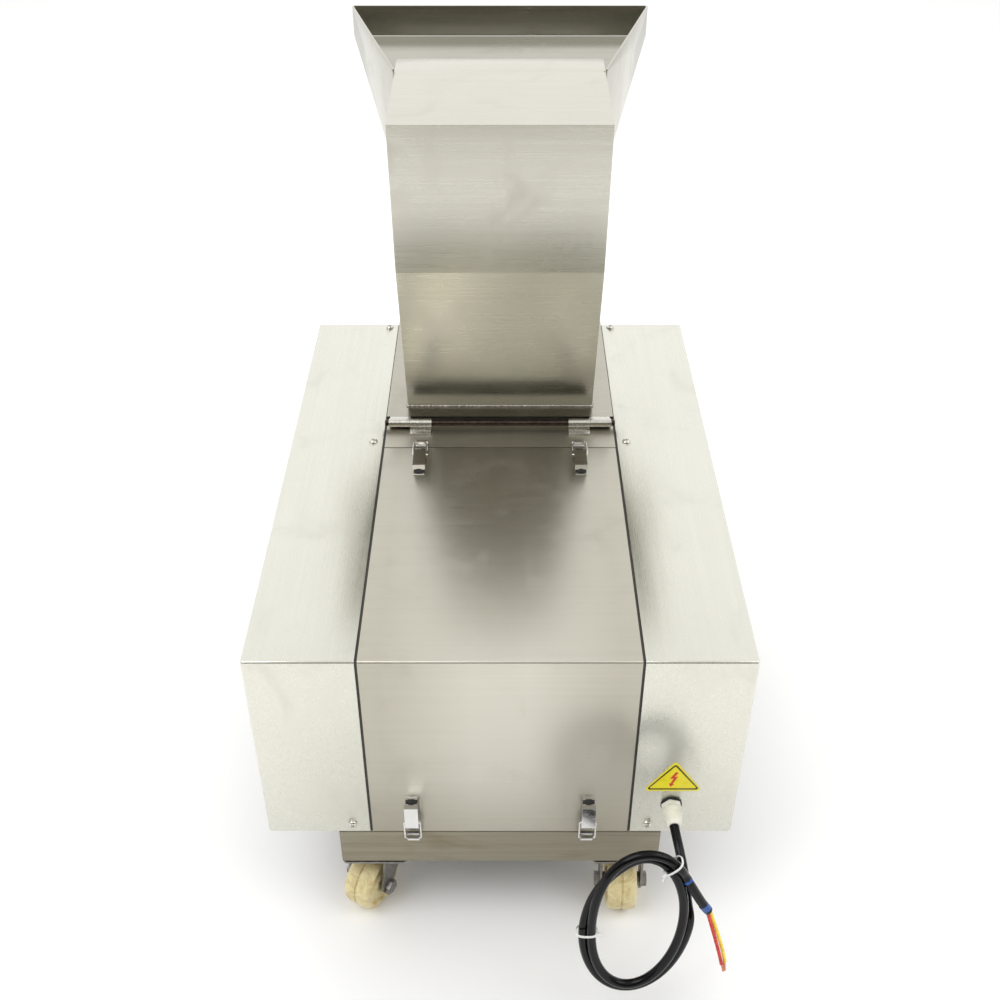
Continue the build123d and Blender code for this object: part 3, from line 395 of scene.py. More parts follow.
def plastic(name, light, dark, rough=(0.25, 0.4), scale=70, **fixed):
    """Moulded plastic or rubber with slight mottling."""
    make = Nodes(name)
    mottle = make.noise((scale, scale, scale), 4.0, 0.6)
    fine = make.noise((900, 900, 900), 2.0, 0.5)
    colour = make.blend(make.remap(mottle, 0.3, 0.7, 0.0, 1.0), dark, light)
    make.bump(fine, 0.05, 0.0001)
    return make.finish(colour, make.remap(mottle, 0.3, 0.7, rough[0], rough[1]), **fixed)


side_steel = brushed(
    "side_cover_steel", (0.70, 0.695, 0.625), (0.65, 0.645, 0.57), "Y", (0.24, 0.32), smudge=0.3
)
# Painted shade on the front cover: darker beyond the chute's sides as painted dark reflection, and darker
# towards the bottom of its front face.
front_steel = brushed(
    "front_cover_steel", (0.65, 0.63, 0.555), (0.60, 0.58, 0.505), "X", (0.34, 0.43),
    painted_shade=[("X", 0.03, 0.13, 0.78), ("X", -0.03, -0.13, 0.78), ("Z", 0.26, 0.17, 0.86)],
)
# Painted shade on the hopper: darker towards its base plate, as contact shade where the chute stands on it,
# and the base plate darkened all over.
hopper_steel = brushed(
    "hopper_steel", (0.62, 0.605, 0.535), (0.58, 0.565, 0.50), "X", (0.25, 0.33),
    painted_shade=[("Z", 0.60, 0.46, 0.74)],
)
tray_steel = brushed("tray_steel", (0.56, 0.55, 0.49), (0.50, 0.49, 0.43), "X", (0.16, 0.26))
# The inner plates are nearly black as painted shade, so the gaps between the covers look dark.
shade_black_plate = brushed("inner_plate_painted_shade", (0.10, 0.098, 0.09), (0.05, 0.048, 0.044), "Y", (0.4, 0.55))
tube_steel = heat_tinted("heat_tinted_tube", (0.33, 0.305, 0.235), (0.27, 0.245, 0.19))
chrome = polished("latch_chrome", (0.80, 0.79, 0.78))
satin_steel = rough_metal(
    "satin_steel", (0.72, 0.70, 0.65), (0.60, 0.58, 0.53), (0.20, 0.32), scale=220, depth=0.03
)
# The hinge rod is dark brown-black as painted shade, for the shadow it lies in between the knuckles.
shaded_rod_steel = rough_metal(
    "hinge_rod_painted_shade", (0.10, 0.075, 0.06), (0.04, 0.03, 0.025), (0.25, 0.4), scale=220, depth=0.05
)
zinc = rough_metal("dull_zinc", (0.34, 0.33, 0.31), (0.17, 0.16, 0.15), (0.30, 0.48), scale=160, depth=0.10)
iron = rough_metal("cast_iron", (0.17, 0.18, 0.19), (0.07, 0.075, 0.08), (0.5, 0.7), 0.6, 120, 0.35)
turned = rough_metal(
    "turned_steel", (0.60, 0.60, 0.61), (0.42, 0.42, 0.43), (0.22, 0.36), scale=260, depth=0.08
)
# Black rubber for the gland seal; the same black is painted shadow under the latch levers.
rubber_and_shadow_black = plastic("dark_rubber_and_painted_shadow", (0.02, 0.02, 0.02), (0.008, 0.008, 0.008), (0.5, 0.7))
motor_paint = plastic(
    "motor_paint", (0.22, 0.26, 0.29), (0.17, 0.20, 0.23), (0.3, 0.45), Coat_Weight=0.2
)
belt_rubber = plastic("belt_rubber", (0.035, 0.035, 0.035), (0.015, 0.015, 0.015), (0.6, 0.8))
cord_black = plastic(
    "glossy_black_cord", (0.004, 0.004, 0.005), (0.002, 0.002, 0.003), (0.10, 0.17), Specular_IOR_Level=0.22
)
ivory = plastic(
    "ivory_gland", (0.86, 0.84, 0.76), (0.74, 0.72, 0.62), (0.28, 0.42), 110, Subsurface_Weight=0.1
)
tie_white = plastic("white_tie", (0.88, 0.88, 0.87), (0.78, 0.78, 0.77), (0.3, 0.45), 160)
wire_red = plastic("red_insulation", (0.72, 0.03, 0.015), (0.52, 0.015, 0.01), (0.22, 0.35), 150)
wire_yellow = plastic("yellow_insulation", (0.95, 0.72, 0.05), (0.85, 0.58, 0.02), (0.22, 0.35), 150)
band_blue = plastic("blue_band", (0.01, 0.10, 0.42), (0.0, 0.04, 0.20), (0.15, 0.25), 150)
copper = rough_metal(
    "bare_copper", (0.85, 0.44, 0.30), (0.55, 0.22, 0.13), (0.28, 0.45), scale=600, depth=0.3
)
sign_yellow = plastic("sign_yellow", (0.93, 0.82, 0.01), (0.88, 0.75, 0.005), (0.25, 0.35), 60)
sign_black = plastic("sign_black", (0.02, 0.02, 0.015), (0.01, 0.01, 0.01), (0.25, 0.35), 90)
sign_red = plastic("sign_red", (0.75, 0.03, 0.01), (0.60, 0.02, 0.01), (0.25, 0.35), 90)
nylon = nylon_material()

# ---------------------------------------------------------------- cord
# The same route as in the part: a lead from the gland, just under two turns of the coil, and the tail.
CORD = 10.8
GLAND = Vector((200, front - 32, body_floor + 49.5))
lead_points = [
    (200, front - 32, 218.5),
    (201.5, front - 49, 217.5),
    (204, front - 66, 211.5),
    (207, front - 80, 200),
    (210, front - 90.5, 185.5),
    (211.5, front - 97.5, 169),
]
tail_points = [
    (203, front - 101, 223),
    (211, front - 105, 210),
    (219, front - 107.5, 195),
    (226.5, front - 109, 181),
    (233.4, front - 109.3, 170),
]
COIL_CENTRE = Vector((154.5, front - 114, 153))
COIL_HALF_WIDTH = 55.8
COIL_HALF_HEIGHT = 101
COIL_LEAN = radians(9.4)
COIL_SLANT = radians(6)
STRAND_SIDE = 4.8
STRAND_DEPTH = 2.7
COIL_STEPS = 24
COIL_START = 4              # degrees from the coil's right-hand side
COIL_SWEEP = 669

coil_across = Vector((cos(COIL_SLANT), 0, -sin(COIL_SLANT)))
coil_out = Vector((0, -cos(COIL_LEAN), sin(COIL_LEAN)))
coil_up = coil_out.cross(coil_across)


def coil_point(angle, side, depth):
    """A point of the coil: angle in degrees, side outwards in its plane, depth towards the camera."""
    turn = radians(angle)
    across = coil_across * (COIL_HALF_WIDTH + side) * cos(turn)
    upwards = coil_up * (COIL_HALF_HEIGHT + side) * sin(turn)
    return COIL_CENTRE + (across + upwards) + coil_out * depth


def ease(value):
    """0 to 1 smoothly."""
    value = max(0.0, min(1.0, value))
    return value * value * (3 - 2 * value)


def coil_turns():
    """The tied turns, which change places between the left side and the top."""
    points = []
    steps = int(COIL_STEPS * COIL_SWEEP / 360)
    for step in range(steps + 1):
        run = COIL_SWEEP * step / steps
        turn = run // 360
        within = run - 360 * turn
        swap = ease((within - 168) / 76)
        first = turn == 0
        side = STRAND_SIDE * (1 - 2 * swap) * (1 if first else -1)
        crossing = 1 - abs(2 * swap - 1)
        depth = (STRAND_DEPTH + 2.9 * crossing) * (-1 if first else 1)
        if first:
            depth += 2 * STRAND_DEPTH * ease((within - 265) / 60)
        points.append(coil_point(COIL_START - run, side, depth))
    return points


cord_points = metres(lead_points) + [point * MM for point in coil_turns()] + metres(tail_points)
cord_curve = bpy.data.curves.new("mains_cord", "CURVE")
cord_curve.dimensions = "3D"
spline = cord_curve.splines.new("NURBS")
spline.points.add(len(cord_points) - 1)
for target, point in zip(spline.points, cord_points):
    target.co = (*point, 1)
spline.order_u = 3
spline.use_endpoint_u = True
cord_curve.resolution_u = 6
cord_curve.bevel_depth = CORD / 2 * MM
cord_curve.bevel_resolution = 8
cord_curve.use_fill_caps = True
mains_cord = new_object("mains_cord", cord_curve)
mains_cord.data.materials.append(cord_black)
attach(mains_cord, "frame")
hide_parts("cord_lead", "cord_coil", "cord_tail")


def cord_tie(name, angle, side_reach, depth_reach, tilt=0.0):
    """A flat white tie round the strands at one place of the coil."""
    centre = coil_point(angle, 0, 0)
    along = (coil_point(angle + 1, 0, 0) - coil_point(angle - 1, 0, 0)).normalized()
    outwards = along.cross(coil_out).normalized()
    along = (along + coil_out * tilt).normalized()
    tool = bmesh.new()
    rings = []
    steps = 40
    for step in range(steps):
        turn = 2 * pi * step / steps
        squircle = 1 / (abs(cos(turn)) ** 3 + abs(sin(turn)) ** 3) ** (1 / 3)
        reach = outwards * cos(turn) * side_reach * squircle + coil_out * sin(turn) * depth_reach * squircle
        grow = reach.normalized() * 1.0
        half = along * 1.5
        corners = (reach - half, reach + half, reach + grow + half, reach + grow - half)
        rings.append([tool.verts.new((centre + corner) * MM) for corner in corners])
    for index, ring in enumerate(rings):
        follow = rings[(index + 1) % steps]
        for corner in range(4):
            after = (corner + 1) % 4
            tool.faces.new((ring[corner], ring[after], follow[after], follow[corner]))
    head = centre - outwards * side_reach + coil_out * depth_reach * 0.6
    box = bmesh.ops.create_cube(tool, size=1)["verts"]
    turn_matrix = Matrix((outwards, coil_out, along)).transposed().to_4x4()
    place = Matrix.Translation(head * MM) @ turn_matrix @ Matrix.Diagonal((5.5 * MM, 4.5 * MM, 5 * MM, 1))
    bmesh.ops.transform(tool, matrix=place, verts=box)
    spike = bmesh.ops.create_cube(tool, size=1)["verts"]
    spike_way = (-outwards * 0.8 + coil_out * 0.3 - along * 0.5).normalized()
    cross = spike_way.cross(along).normalized()
    spike_matrix = Matrix((spike_way, along, cross)).transposed().to_4x4()
    spike_size = Matrix.Diagonal((8 * MM, 2.6 * MM, 1 * MM, 1))
    place = Matrix.Translation((head + spike_way * 5) * MM) @ spike_matrix @ spike_size
    bmesh.ops.transform(tool, matrix=place, verts=spike)
    tie = finish_mesh(name, tool, tie_white, "frame", sharp=40)
    edge = tie.modifiers.new("edge", "BEVEL")
    edge.width = 0.3 * MM
    edge.segments = 2
    edge.limit_method = "ANGLE"
    return tie


ties = [cord_tie("coil_tie_left", 190, 11.6, 8.4), cord_tie("coil_tie_right", 62, 12.0, 9.5, 0.2)]

# The stripped conductors leave the end of the jacket side by side and end in twisted copper.
wire_points = [
    (233.4, front - 109.3, 171.5),
    (241, front - 113.5, 147),
    (249, front - 117.5, 121),
    (256, front - 122, 95),
    (259, front - 126, 77),
]
WIRE = 4.2
STRAND_RADIUS = 0.55


def conductor(name, shift, material, end_share):
    """One insulated conductor along the stripped stretch."""
    curve = bpy.data.curves.new(name, "CURVE")
    curve.dimensions = "3D"
    line = curve.splines.new("NURBS")
    line.points.add(len(wire_points) - 1)
    for index, (target, point) in enumerate(zip(line.points, wire_points)):
        spread = min(1.0, 0.55 + index * 0.25)
        here = Vector(point) + Vector((shift * spread, 0.6 * shift * spread, 0.25 * shift))
        if index == len(wire_points) - 1:
            before = Vector(wire_points[-2])
            here = before + Vector((shift, 0.6 * shift, 0)) + (Vector(point) - before) * end_share
        target.co = (*(here * MM), 1)
    line.order_u = 3
    line.use_endpoint_u = True
    curve.bevel_depth = WIRE / 2 * MM
    curve.bevel_resolution = 6
    curve.use_fill_caps = True
    wire = new_object(name, curve)
    wire.data.materials.append(material)
    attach(wire, "frame")
    return wire


def copper_strands(name, start, end, strands=7):
    """Fine bare strands, lightly twisted together."""
    start, end = Vector(start), Vector(end)
    along = (end - start).normalized()
    side = along.orthogonal().normalized()
    other = along.cross(side)
    tool = bmesh.new()
    steps, sides = 14, 6
    for strand in range(strands):
        rings = []
        for step in range(steps + 1):
            share = step / steps
            twist = 2 * pi * strand / (strands - 1) + 2.2 * share
            reach = (1.15 if strand else 0) * (1 - 0.35 * share)
            middle = start + (end - start) * share + (side * cos(twist) + other * sin(twist)) * reach
            ring = []
            for corner in range(sides):
                angle = 2 * pi * corner / sides
                edge = (side * cos(angle) + other * sin(angle)) * STRAND_RADIUS
                ring.append(tool.verts.new((middle + edge) * MM))
            rings.append(ring)
        for low, high in zip(rings, rings[1:]):
            for corner in range(sides):
                follow = (corner + 1) % sides
                tool.faces.new((low[corner], low[follow], high[follow], high[corner]))
        tool.faces.new(rings[0])
        tool.faces.new(rings[-1])
    return finish_mesh(name, tool, copper, "frame", sharp=60)


wires = [
    conductor("red_conductor", -WIRE * 0.52, wire_red, 0.35),
    conductor("yellow_conductor", WIRE * 0.52, wire_yellow, 0.35),
]
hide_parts("cord_conductors")
tip_start = Vector(wire_points[-2]) + (Vector(wire_points[-1]) - Vector(wire_points[-2])) * 0.3
for name, shift in (("copper_end_red", -1.6), ("copper_end_yellow", 1.6)):
    aside = Vector((shift, 0.4 * shift, 0))
    copper_strands(name, tip_start + aside, Vector(wire_points[-1]) + aside * 0.6)

# Two blue bands go round the jacket, one high on the tail and one near its end.
BAND_RADIUS = CORD / 2 + 0.25
first, second, end = Vector(tail_points[0]), Vector(tail_points[1]), Vector(tail_points[-1])
end_way = (end - Vector(tail_points[-2])).normalized()
for name, middle, way, width in (
    ("blue_band_upper", (first + second) / 2, (second - first).normalized(), 4),
    ("blue_band_lower", end - end_way * 8, end_way, 9),
):
    half = width / 2
    profile = [
        (BAND_RADIUS - 0.5, -half), (BAND_RADIUS, 0.3 - half),
        (BAND_RADIUS, half - 0.3), (BAND_RADIUS - 0.5, half),
    ]
    lathe(name, profile, middle, way, band_blue, "frame", steps=40)

# ---------------------------------------------------------------- gland
gland_face = Vector((GLAND.x, front, GLAND.z))
HEX = 22                    # across flats
HEX_CORNER = HEX / 2 / cos(pi / 6)
seal = lathe(
    "gland_seal", [(6, -0.1), (12.4, 0.0), (12.5, 1.0), (11.8, 1.6), (6, 1.6)],
    gland_face, (0, -1, 0), rubber_and_shadow_black, "frame",
)
gland_body = lathe(
    "gland_body_finish",
    [(5.6, 1.5), (HEX / 2 - 0.2, 1.5), (HEX_CORNER, 2.6), (HEX_CORNER, 7.2), (HEX / 2, 8), (5.6, 8)],
    gland_face, (0, -1, 0), ivory, "frame", ("gland_body",), steps=6, sharp=20,
)
gland_bevel = gland_body.modifiers.new("edge", "BEVEL")
gland_bevel.width = 0.7 * MM
gland_bevel.segments = 3
gland_bevel.limit_method = "ANGLE"
gland_bevel.angle_limit = radians(25)
gland_nut = lathe(
    "gland_nut_finish",
    [(5.5, 8), (9.4, 8), (9.4, 9.3), (10.6, 9.8), (11.0, 10.8), (11.0, 14), (10.7, 14.6), (10.7, 15.4),
     (11.0, 16), (10.9, 20.5), (10.6, 22.5), (10.0, 24.6), (9.2, 26.8), (8.3, 28.8), (7.5, 30.6),
     (7.0, 31.5), (6.4, 32), (5.5, 32)],
    gland_face, (0, -1, 0), ivory, "frame", ("gland_nut",), steps=72,
)

# ---------------------------------------------------------------- covers
FOLD = 2.6                  # outer radius of a fold


def side_cover(name, side):
    """A folded side cover: top, front, outer side and back in one sheet."""
    inner, outer = side * side_inner, side * body_half
    corners = {}
    for across, x in (("inner", inner), ("outer", outer)):
        for end, y in (("front", front), ("back", back)):
            for level, z in (("low", body_floor), ("high", deck)):
                corners[f"{across}_{end}_{level}"] = (x, y, z)
    faces = [
        ("inner_front_high", "outer_front_high", "outer_back_high", "inner_back_high"),
        ("inner_front_low", "outer_front_low", "outer_front_high", "inner_front_high"),
        ("outer_front_low", "outer_back_low", "outer_back_high", "outer_front_high"),
        ("outer_back_low", "inner_back_low", "inner_back_high", "outer_back_high"),
    ]
    bends = [
        ("inner_front_high", "outer_front_high"),
        ("outer_front_high", "outer_back_high"),
        ("outer_back_high", "inner_back_high"),
        ("outer_front_low", "outer_front_high"),
        ("outer_back_low", "outer_back_high"),
    ]
    return shell(
        f"{name}_finish", corners, faces, bends, FOLD, sheet, -1, side_steel, "frame", (name,)
    )


side_cover("left_side_cover", -1)
side_cover("right_side_cover", 1)

front_corners = {}
for across, x in (("left", -cover_half), ("right", cover_half)):
    front_corners[f"{across}_low"] = (x, front, body_floor)
    front_corners[f"{across}_fold"] = (x, front, deck)
    front_corners[f"{across}_back"] = (x, cover_back, deck)
shell(
    "front_cover_finish", front_corners,
    [
        ("left_low", "right_low", "right_fold", "left_fold"),
        ("left_fold", "right_fold", "right_back", "left_back"),
    ],
    [("left_fold", "right_fold")], FOLD, sheet, -1, front_steel, "frame", ("front_cover",),
)

# ---------------------------------------------------------------- hopper
# Distances back are from the body's front face, and rises are from the hopper's base plate.
CHUTE_HALF = 126
CHUTE_BACK = 489
CHUTE_DEPTH = 152
KNEE_RISE = 238
KNEE_LEAN = 73              # forward of the foot
CROWN_RISE = 428
CROWN_LEAN = 95.4
THROAT_RISE = 305
ROOF_RUN = 195
ROOF_RISE = 10.5
SIDE_TOP_BACK = 545
front_foot = (front + CHUTE_BACK, hopper_deck)
front_knee = (front + CHUTE_BACK - KNEE_LEAN, hopper_deck + KNEE_RISE)
front_crown = (front + CHUTE_BACK - CROWN_LEAN, hopper_deck + CROWN_RISE)
back_foot = (front_foot[0] + CHUTE_DEPTH, front_foot[1])
back_knee = (front_knee[0] + CHUTE_DEPTH, front_knee[1])
upper_lean = (CROWN_LEAN - KNEE_LEAN) / (CROWN_RISE - KNEE_RISE)
throat = (
    front_foot[0] + CHUTE_DEPTH - KNEE_LEAN - upper_lean * (THROAT_RISE - KNEE_RISE),
    hopper_deck + THROAT_RISE,
)
roof_end = (front_crown[0] + ROOF_RUN, front_crown[1] + ROOF_RISE)
side_top_y = front + SIDE_TOP_BACK
side_top = (side_top_y, front_crown[1] + ROOF_RISE / ROOF_RUN * (side_top_y - front_crown[0]))
chute_corners = {}
for across, x in (("l", -CHUTE_HALF), ("r", CHUTE_HALF)):
    for key, (y, z) in (
        ("foot", front_foot), ("knee", front_knee), ("crown", front_crown), ("back_foot", back_foot),
        ("back_knee", back_knee), ("throat", throat), ("roof_end", roof_end), ("side_top", side_top),
    ):
        chute_corners[f"{across}_{key}"] = (x, y, z)
chute_faces = [
    ("l_foot", "r_foot", "r_knee", "l_knee"), ("l_knee", "r_knee", "r_crown", "l_crown"),
    ("l_crown", "r_crown", "r_side_top", "l_side_top"),
    ("l_side_top", "r_side_top", "r_roof_end", "l_roof_end"),
    ("l_back_foot", "r_back_foot", "r_back_knee", "l_back_knee"),
    ("l_back_knee", "r_back_knee", "r_throat", "l_throat"),
]
chute_bends = [("l_knee", "r_knee"), ("l_crown", "r_crown"), ("l_back_knee", "r_back_knee")]
for across in ("l", "r"):
    for outline in (
        ("foot", "back_foot", "back_knee", "knee"), ("knee", "back_knee", "throat", "side_top", "crown")
    ):
        chute_faces.append(tuple(f"{across}_{key}" for key in outline))
    for a, b in (
        ("foot", "knee"), ("knee", "crown"), ("crown", "side_top"),
        ("back_foot", "back_knee"), ("back_knee", "throat"),
    ):
        chute_bends.append((f"{across}_{a}", f"{across}_{b}"))
shell(
    "hopper_shell_finish", chute_corners, chute_faces, chute_bends, 2.8, hopper_sheet, -1, hopper_steel,
    "hopper", ("hopper_chute", "hopper_roof"),
)

MOUTH_HALF = 199.5
MOUTH_BACK = 812
TRAY_FLOOR_RISE = 400
RIM_RISE = 440
tray_far = front + MOUTH_BACK - hopper_sheet
floor_far = hopper_deck + TRAY_FLOOR_RISE
rim = hopper_deck + RIM_RISE
flare = (MOUTH_HALF - CHUTE_HALF) / (tray_far - side_top[0])
near_half = CHUTE_HALF + flare * (throat[0] - side_top[0])
tray_corners = {}
for across, side in (("l", -1), ("r", 1)):
    tray_corners[f"{across}_throat"] = (side * near_half, throat[0], throat[1])
    tray_corners[f"{across}_far"] = (side * MOUTH_HALF, tray_far, floor_far)
    tray_corners[f"{across}_rim"] = (side * MOUTH_HALF, tray_far, rim)
    tray_corners[f"{across}_near_rim"] = (side * CHUTE_HALF, side_top[0], rim)
    tray_corners[f"{across}_near"] = (side * CHUTE_HALF, side_top[0], side_top[1])
tray_faces = [("l_throat", "r_throat", "r_far", "l_far"), ("l_far", "r_far", "r_rim", "l_rim")]
tray_bends = [("l_far", "r_far")]
for across in ("l", "r"):
    tray_faces.append(tuple(f"{across}_{key}" for key in ("throat", "far", "rim", "near_rim", "near")))
    tray_bends += [(f"{across}_throat", f"{across}_far"), (f"{across}_far", f"{across}_rim")]
shell(
    "feed_tray_finish", tray_corners, tray_faces, tray_bends, 2.2, hopper_sheet, 1, tray_steel, "hopper",
    ("feed_tray",),
)

# A weld bead runs round the chute where it stands on its base plate.
bead_points = []
BEAD_STEP = 1.6
bead_corners = [
    (-CHUTE_HALF, back_foot[0]), (-CHUTE_HALF, front_foot[0]),
    (CHUTE_HALF, front_foot[0]), (CHUTE_HALF, back_foot[0]),
]
for (x0, y0), (x1, y1) in zip(bead_corners, bead_corners[1:] + bead_corners[:1]):
    steps = int(hypot(x1 - x0, y1 - y0) / BEAD_STEP)
    for step in range(steps):
        share = step / steps
        x = x0 + (x1 - x0) * share
        y = y0 + (y1 - y0) * share
        ripple = 0.5 * noise.noise(Vector((x, y, 3)) * 0.3)
        bead_points.append((x + ripple, y + ripple, hopper_deck + 0.8))
weld = rough_metal("weld_bead", (0.62, 0.60, 0.57), (0.30, 0.27, 0.24), (0.28, 0.45), scale=200, depth=0.2)
weld_bead("chute_weld", bead_points, 2.0, weld, "hopper", sides=10, wobble=0.45)

# ---------------------------------------------------------------- screws
def screw_mesh():
    """A pan head with a cross recess, its underside at the origin and its axis along Z."""
    head = lathe(
        "screw_pattern",
        [(0, -0.4), (5.4, -0.4), (5.5, 0.4), (5.3, 1.2), (4.8, 2.1), (4.0, 2.8), (2.9, 3.3), (1.4, 3.55),
         (0, 3.6)],
        (0, 0, 0), (0, 0, 1), satin_steel, "frame", steps=48,
    )
    cutter_tool = bmesh.new()
    for length, width in ((5.6, 1.15), (1.15, 5.6)):
        cube = bmesh.ops.create_cube(cutter_tool, size=1)["verts"]
        size = Matrix.Diagonal((length * MM, width * MM, 4 * MM, 1))
        bmesh.ops.transform(cutter_tool, matrix=Matrix.Translation((0, 0, 4.2 * MM)) @ size, verts=cube)
    cutter_mesh = bpy.data.meshes.new("screw_cutter")
    cutter_tool.to_mesh(cutter_mesh)
    cutter_tool.free()
    cutter = new_object("screw_cutter", cutter_mesh)
    cut = head.modifiers.new("recess", "BOOLEAN")
    cut.operation = "DIFFERENCE"
    cut.solver = "EXACT"
    cut.use_self = True
    cut.object = cutter
    bpy.context.view_layer.update()
    result = bpy.data.meshes.new_from_object(head.evaluated_get(bpy.context.evaluated_depsgraph_get()))
    bpy.data.objects.remove(cutter)
    bpy.data.objects.remove(head)
    result.set_sharp_from_angle(angle=radians(35))
    return result


recessed_head = screw_mesh()
SCREW_X = 167
TOP_SCREWS_BACK = (410, 716)
FRONT_SCREW_X = 174.5
FRONT_SCREW_Z = 182.5
screw_places = []
for side in (-1, 1):
    for back_by in TOP_SCREWS_BACK:
        screw_places.append(((side * SCREW_X, front + back_by, deck), (0, 0, 1)))
    screw_places.append(((side * FRONT_SCREW_X, front, FRONT_SCREW_Z), (0, -1, 0)))
    screw_places.append(((side * FRONT_SCREW_X, back, FRONT_SCREW_Z), (0, 1, 0)))
first_screw = None
for index, (spot, out) in enumerate(screw_places):
    head = new_object(f"cover_screw_{index + 1}", recessed_head)
    turn = Vector((0, 0, 1)).rotation_difference(Vector(out)).to_matrix().to_4x4()
    twist = Matrix.Rotation(radians(23 * index), 4, "Z")
    head.matrix_world = Matrix.Translation(Vector(spot) * MM) @ turn @ twist
    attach(head, "frame")
    first_screw = first_screw or head
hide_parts("cover_screws")

# ---------------------------------------------------------------- hazard triangle
sign_low, sign_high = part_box("warning_plate")
SIGN_HALF = (sign_high.x - sign_low.x) / MM / 2
SIGN_HEIGHT = (sign_high.z - sign_low.z) / MM
sign_centre = Vector(((sign_low.x + sign_high.x) / MM / 2, front, sign_low.z / MM + SIGN_HEIGHT / 3))


def rounded_triangle(inset, radius, steps=8):
    """An upright rounded triangle, inset from the sign's edge, as (x, z) in mm from its centre."""
    half = SIGN_HALF - inset - radius
    low = -SIGN_HEIGHT / 3 + inset + radius
    high = SIGN_HEIGHT * 2 / 3 - inset * 1.25 - radius
    corners = (Vector((half, low)), Vector((0, high)), Vector((-half, low)))
    points = []
    for index, corner in enumerate(corners):
        before, after = corners[index - 1], corners[(index + 1) % 3]
        run_in, run_out = (corner - before).normalized(), (after - corner).normalized()
        start = Vector((run_in.y, -run_in.x))
        end = Vector((run_out.y, -run_out.x))
        for step in range(steps + 1):
            way = start.slerp(end, step / steps)
            points.append(corner + way * radius)
    return points


def sign_piece(name, outline, low, high, material, inner=None):
    """A flat shape on the front face, between two distances from it, with an optional hole."""
    tool = bmesh.new()

    def ring(points, out):
        return [tool.verts.new((sign_centre + Vector((x, -out, z))) * MM) for x, z in points]

    outer_low, outer_high = ring(outline, low), ring(outline, high)
    count = len(outline)
    for index in range(count):
        follow = (index + 1) % count
        tool.faces.new((outer_low[index], outer_low[follow], outer_high[follow], outer_high[index]))
    if inner:
        inner_low, inner_high = ring(inner, low), ring(inner, high)
        for index in range(count):
            follow = (index + 1) % count
            tool.faces.new((inner_low[index], inner_low[follow], inner_high[follow], inner_high[index]))
            tool.faces.new((outer_high[index], outer_high[follow], inner_high[follow], inner_high[index]))
            tool.faces.new((outer_low[index], outer_low[follow], inner_low[follow], inner_low[index]))
    else:
        tool.faces.new(outer_high)
        tool.faces.new(outer_low)
    return finish_mesh(name, tool, material, "frame", sharp=30)


sign_plate = sign_piece("sign_plate", rounded_triangle(0, 3.2), 0.0, 0.6, sign_yellow)
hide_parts("warning_plate")
sign_piece("sign_border", rounded_triangle(2.4, 2.4), 0.5, 0.68, sign_black, rounded_triangle(4.6, 1.2))
bolt = [Vector(point) for point in (
    (1.2, 17), (-4.8, 5.0), (-0.4, 6.2), (-3.4, -3.0), (-5.4, -2.2), (-3.4, -8.5), (1.2, -4.2), (-1.0, -3.9),
    (4.4, 9.4), (0.4, 8.4), (4.4, 15.6),
)]
sign_piece("sign_bolt", bolt, 0.5, 0.68, sign_red)

# ---------------------------------------------------------------- latches, hinge and frame
for node in ("latch_bases", "latch_catches"):
    dressed(node, chrome, 0.3, "frame")

# A black dome under the free end of each closed lever is painted shadow and dark reflection of the lever's
# end.
LATCH_X = 103.5
LATCH_SETBACK = 17
LEVER_END = 35.5
shadow_pad_profile = [(0, 0.2), (6.0, 0.2), (6.4, 1.0), (6.4, 2.6), (5.6, 3.8), (4.0, 4.4), (0, 4.6)]
for side, place in ((-1, "left"), (1, "right")):
    upper = (side * LATCH_X, cover_back - LATCH_SETBACK - LEVER_END, deck)
    lower = (side * LATCH_X, front, body_floor + LATCH_SETBACK + LEVER_END)
    for level, spot, way in (("upper", upper, (0, 0, 1)), ("lower", lower, (0, -1, 0))):
        name = f"latch_painted_shadow_{level}_{place}"
        lathe(name, shadow_pad_profile, spot, way, rubber_and_shadow_black, "frame", steps=48)
for place in ("upper_left", "upper_right", "lower_left", "lower_right"):
    dressed(f"latch_lever_{place}", chrome, 0.9, f"latch_lever_{place}", segments=3)
    dressed(f"latch_bail_{place}", chrome, 0.05, f"latch_bail_{place}")
dressed("hinge_knuckles_fixed", satin_steel, 0.5, "frame")
dressed("hinge_knuckles_hopper", satin_steel, 0.5, "hopper")

# A wheel is the same from both sides, so half its outline is mirrored.
WHEEL_HALF = 18.5
wheel_side = [               # radius, and depth in from the wheel's flat side
    (7.2, 1.0), (9.5, 0), (14.5, 0), (15.5, 1.2), (16.5, 3.2), (27.5, 3.2), (29, 0.6), (31, 0.1), (33.6, 0.6),
    (35.6, 2.2), (36.8, 5.0), (37.35, 9.0),
]
half_groove = [(37.5, -2.6), (37.2, -1.5), (35.6, -0.8)]
one_side = [(radius, depth - WHEEL_HALF) for radius, depth in wheel_side] + half_groove
wheel_outline = one_side + [(radius, -height) for radius, height in reversed(one_side)] + one_side[:1]
for place, heading in (("front_left", -30), ("front_right", 0), ("rear_left", 14), ("rear_right", -20)):
    dressed(f"caster_fork_{place}", zinc, 0.6, f"caster_fork_{place}")
    wheel = f"caster_wheel_{place}"
    low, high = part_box(wheel)
    axis = Vector((cos(radians(heading)), sin(radians(heading)), 0))
    lathe(
        f"{wheel}_finish", wheel_outline, (low + high) / 2 / MM, axis, nylon, wheel, (wheel,),
        steps=96, sharp=40,
    )

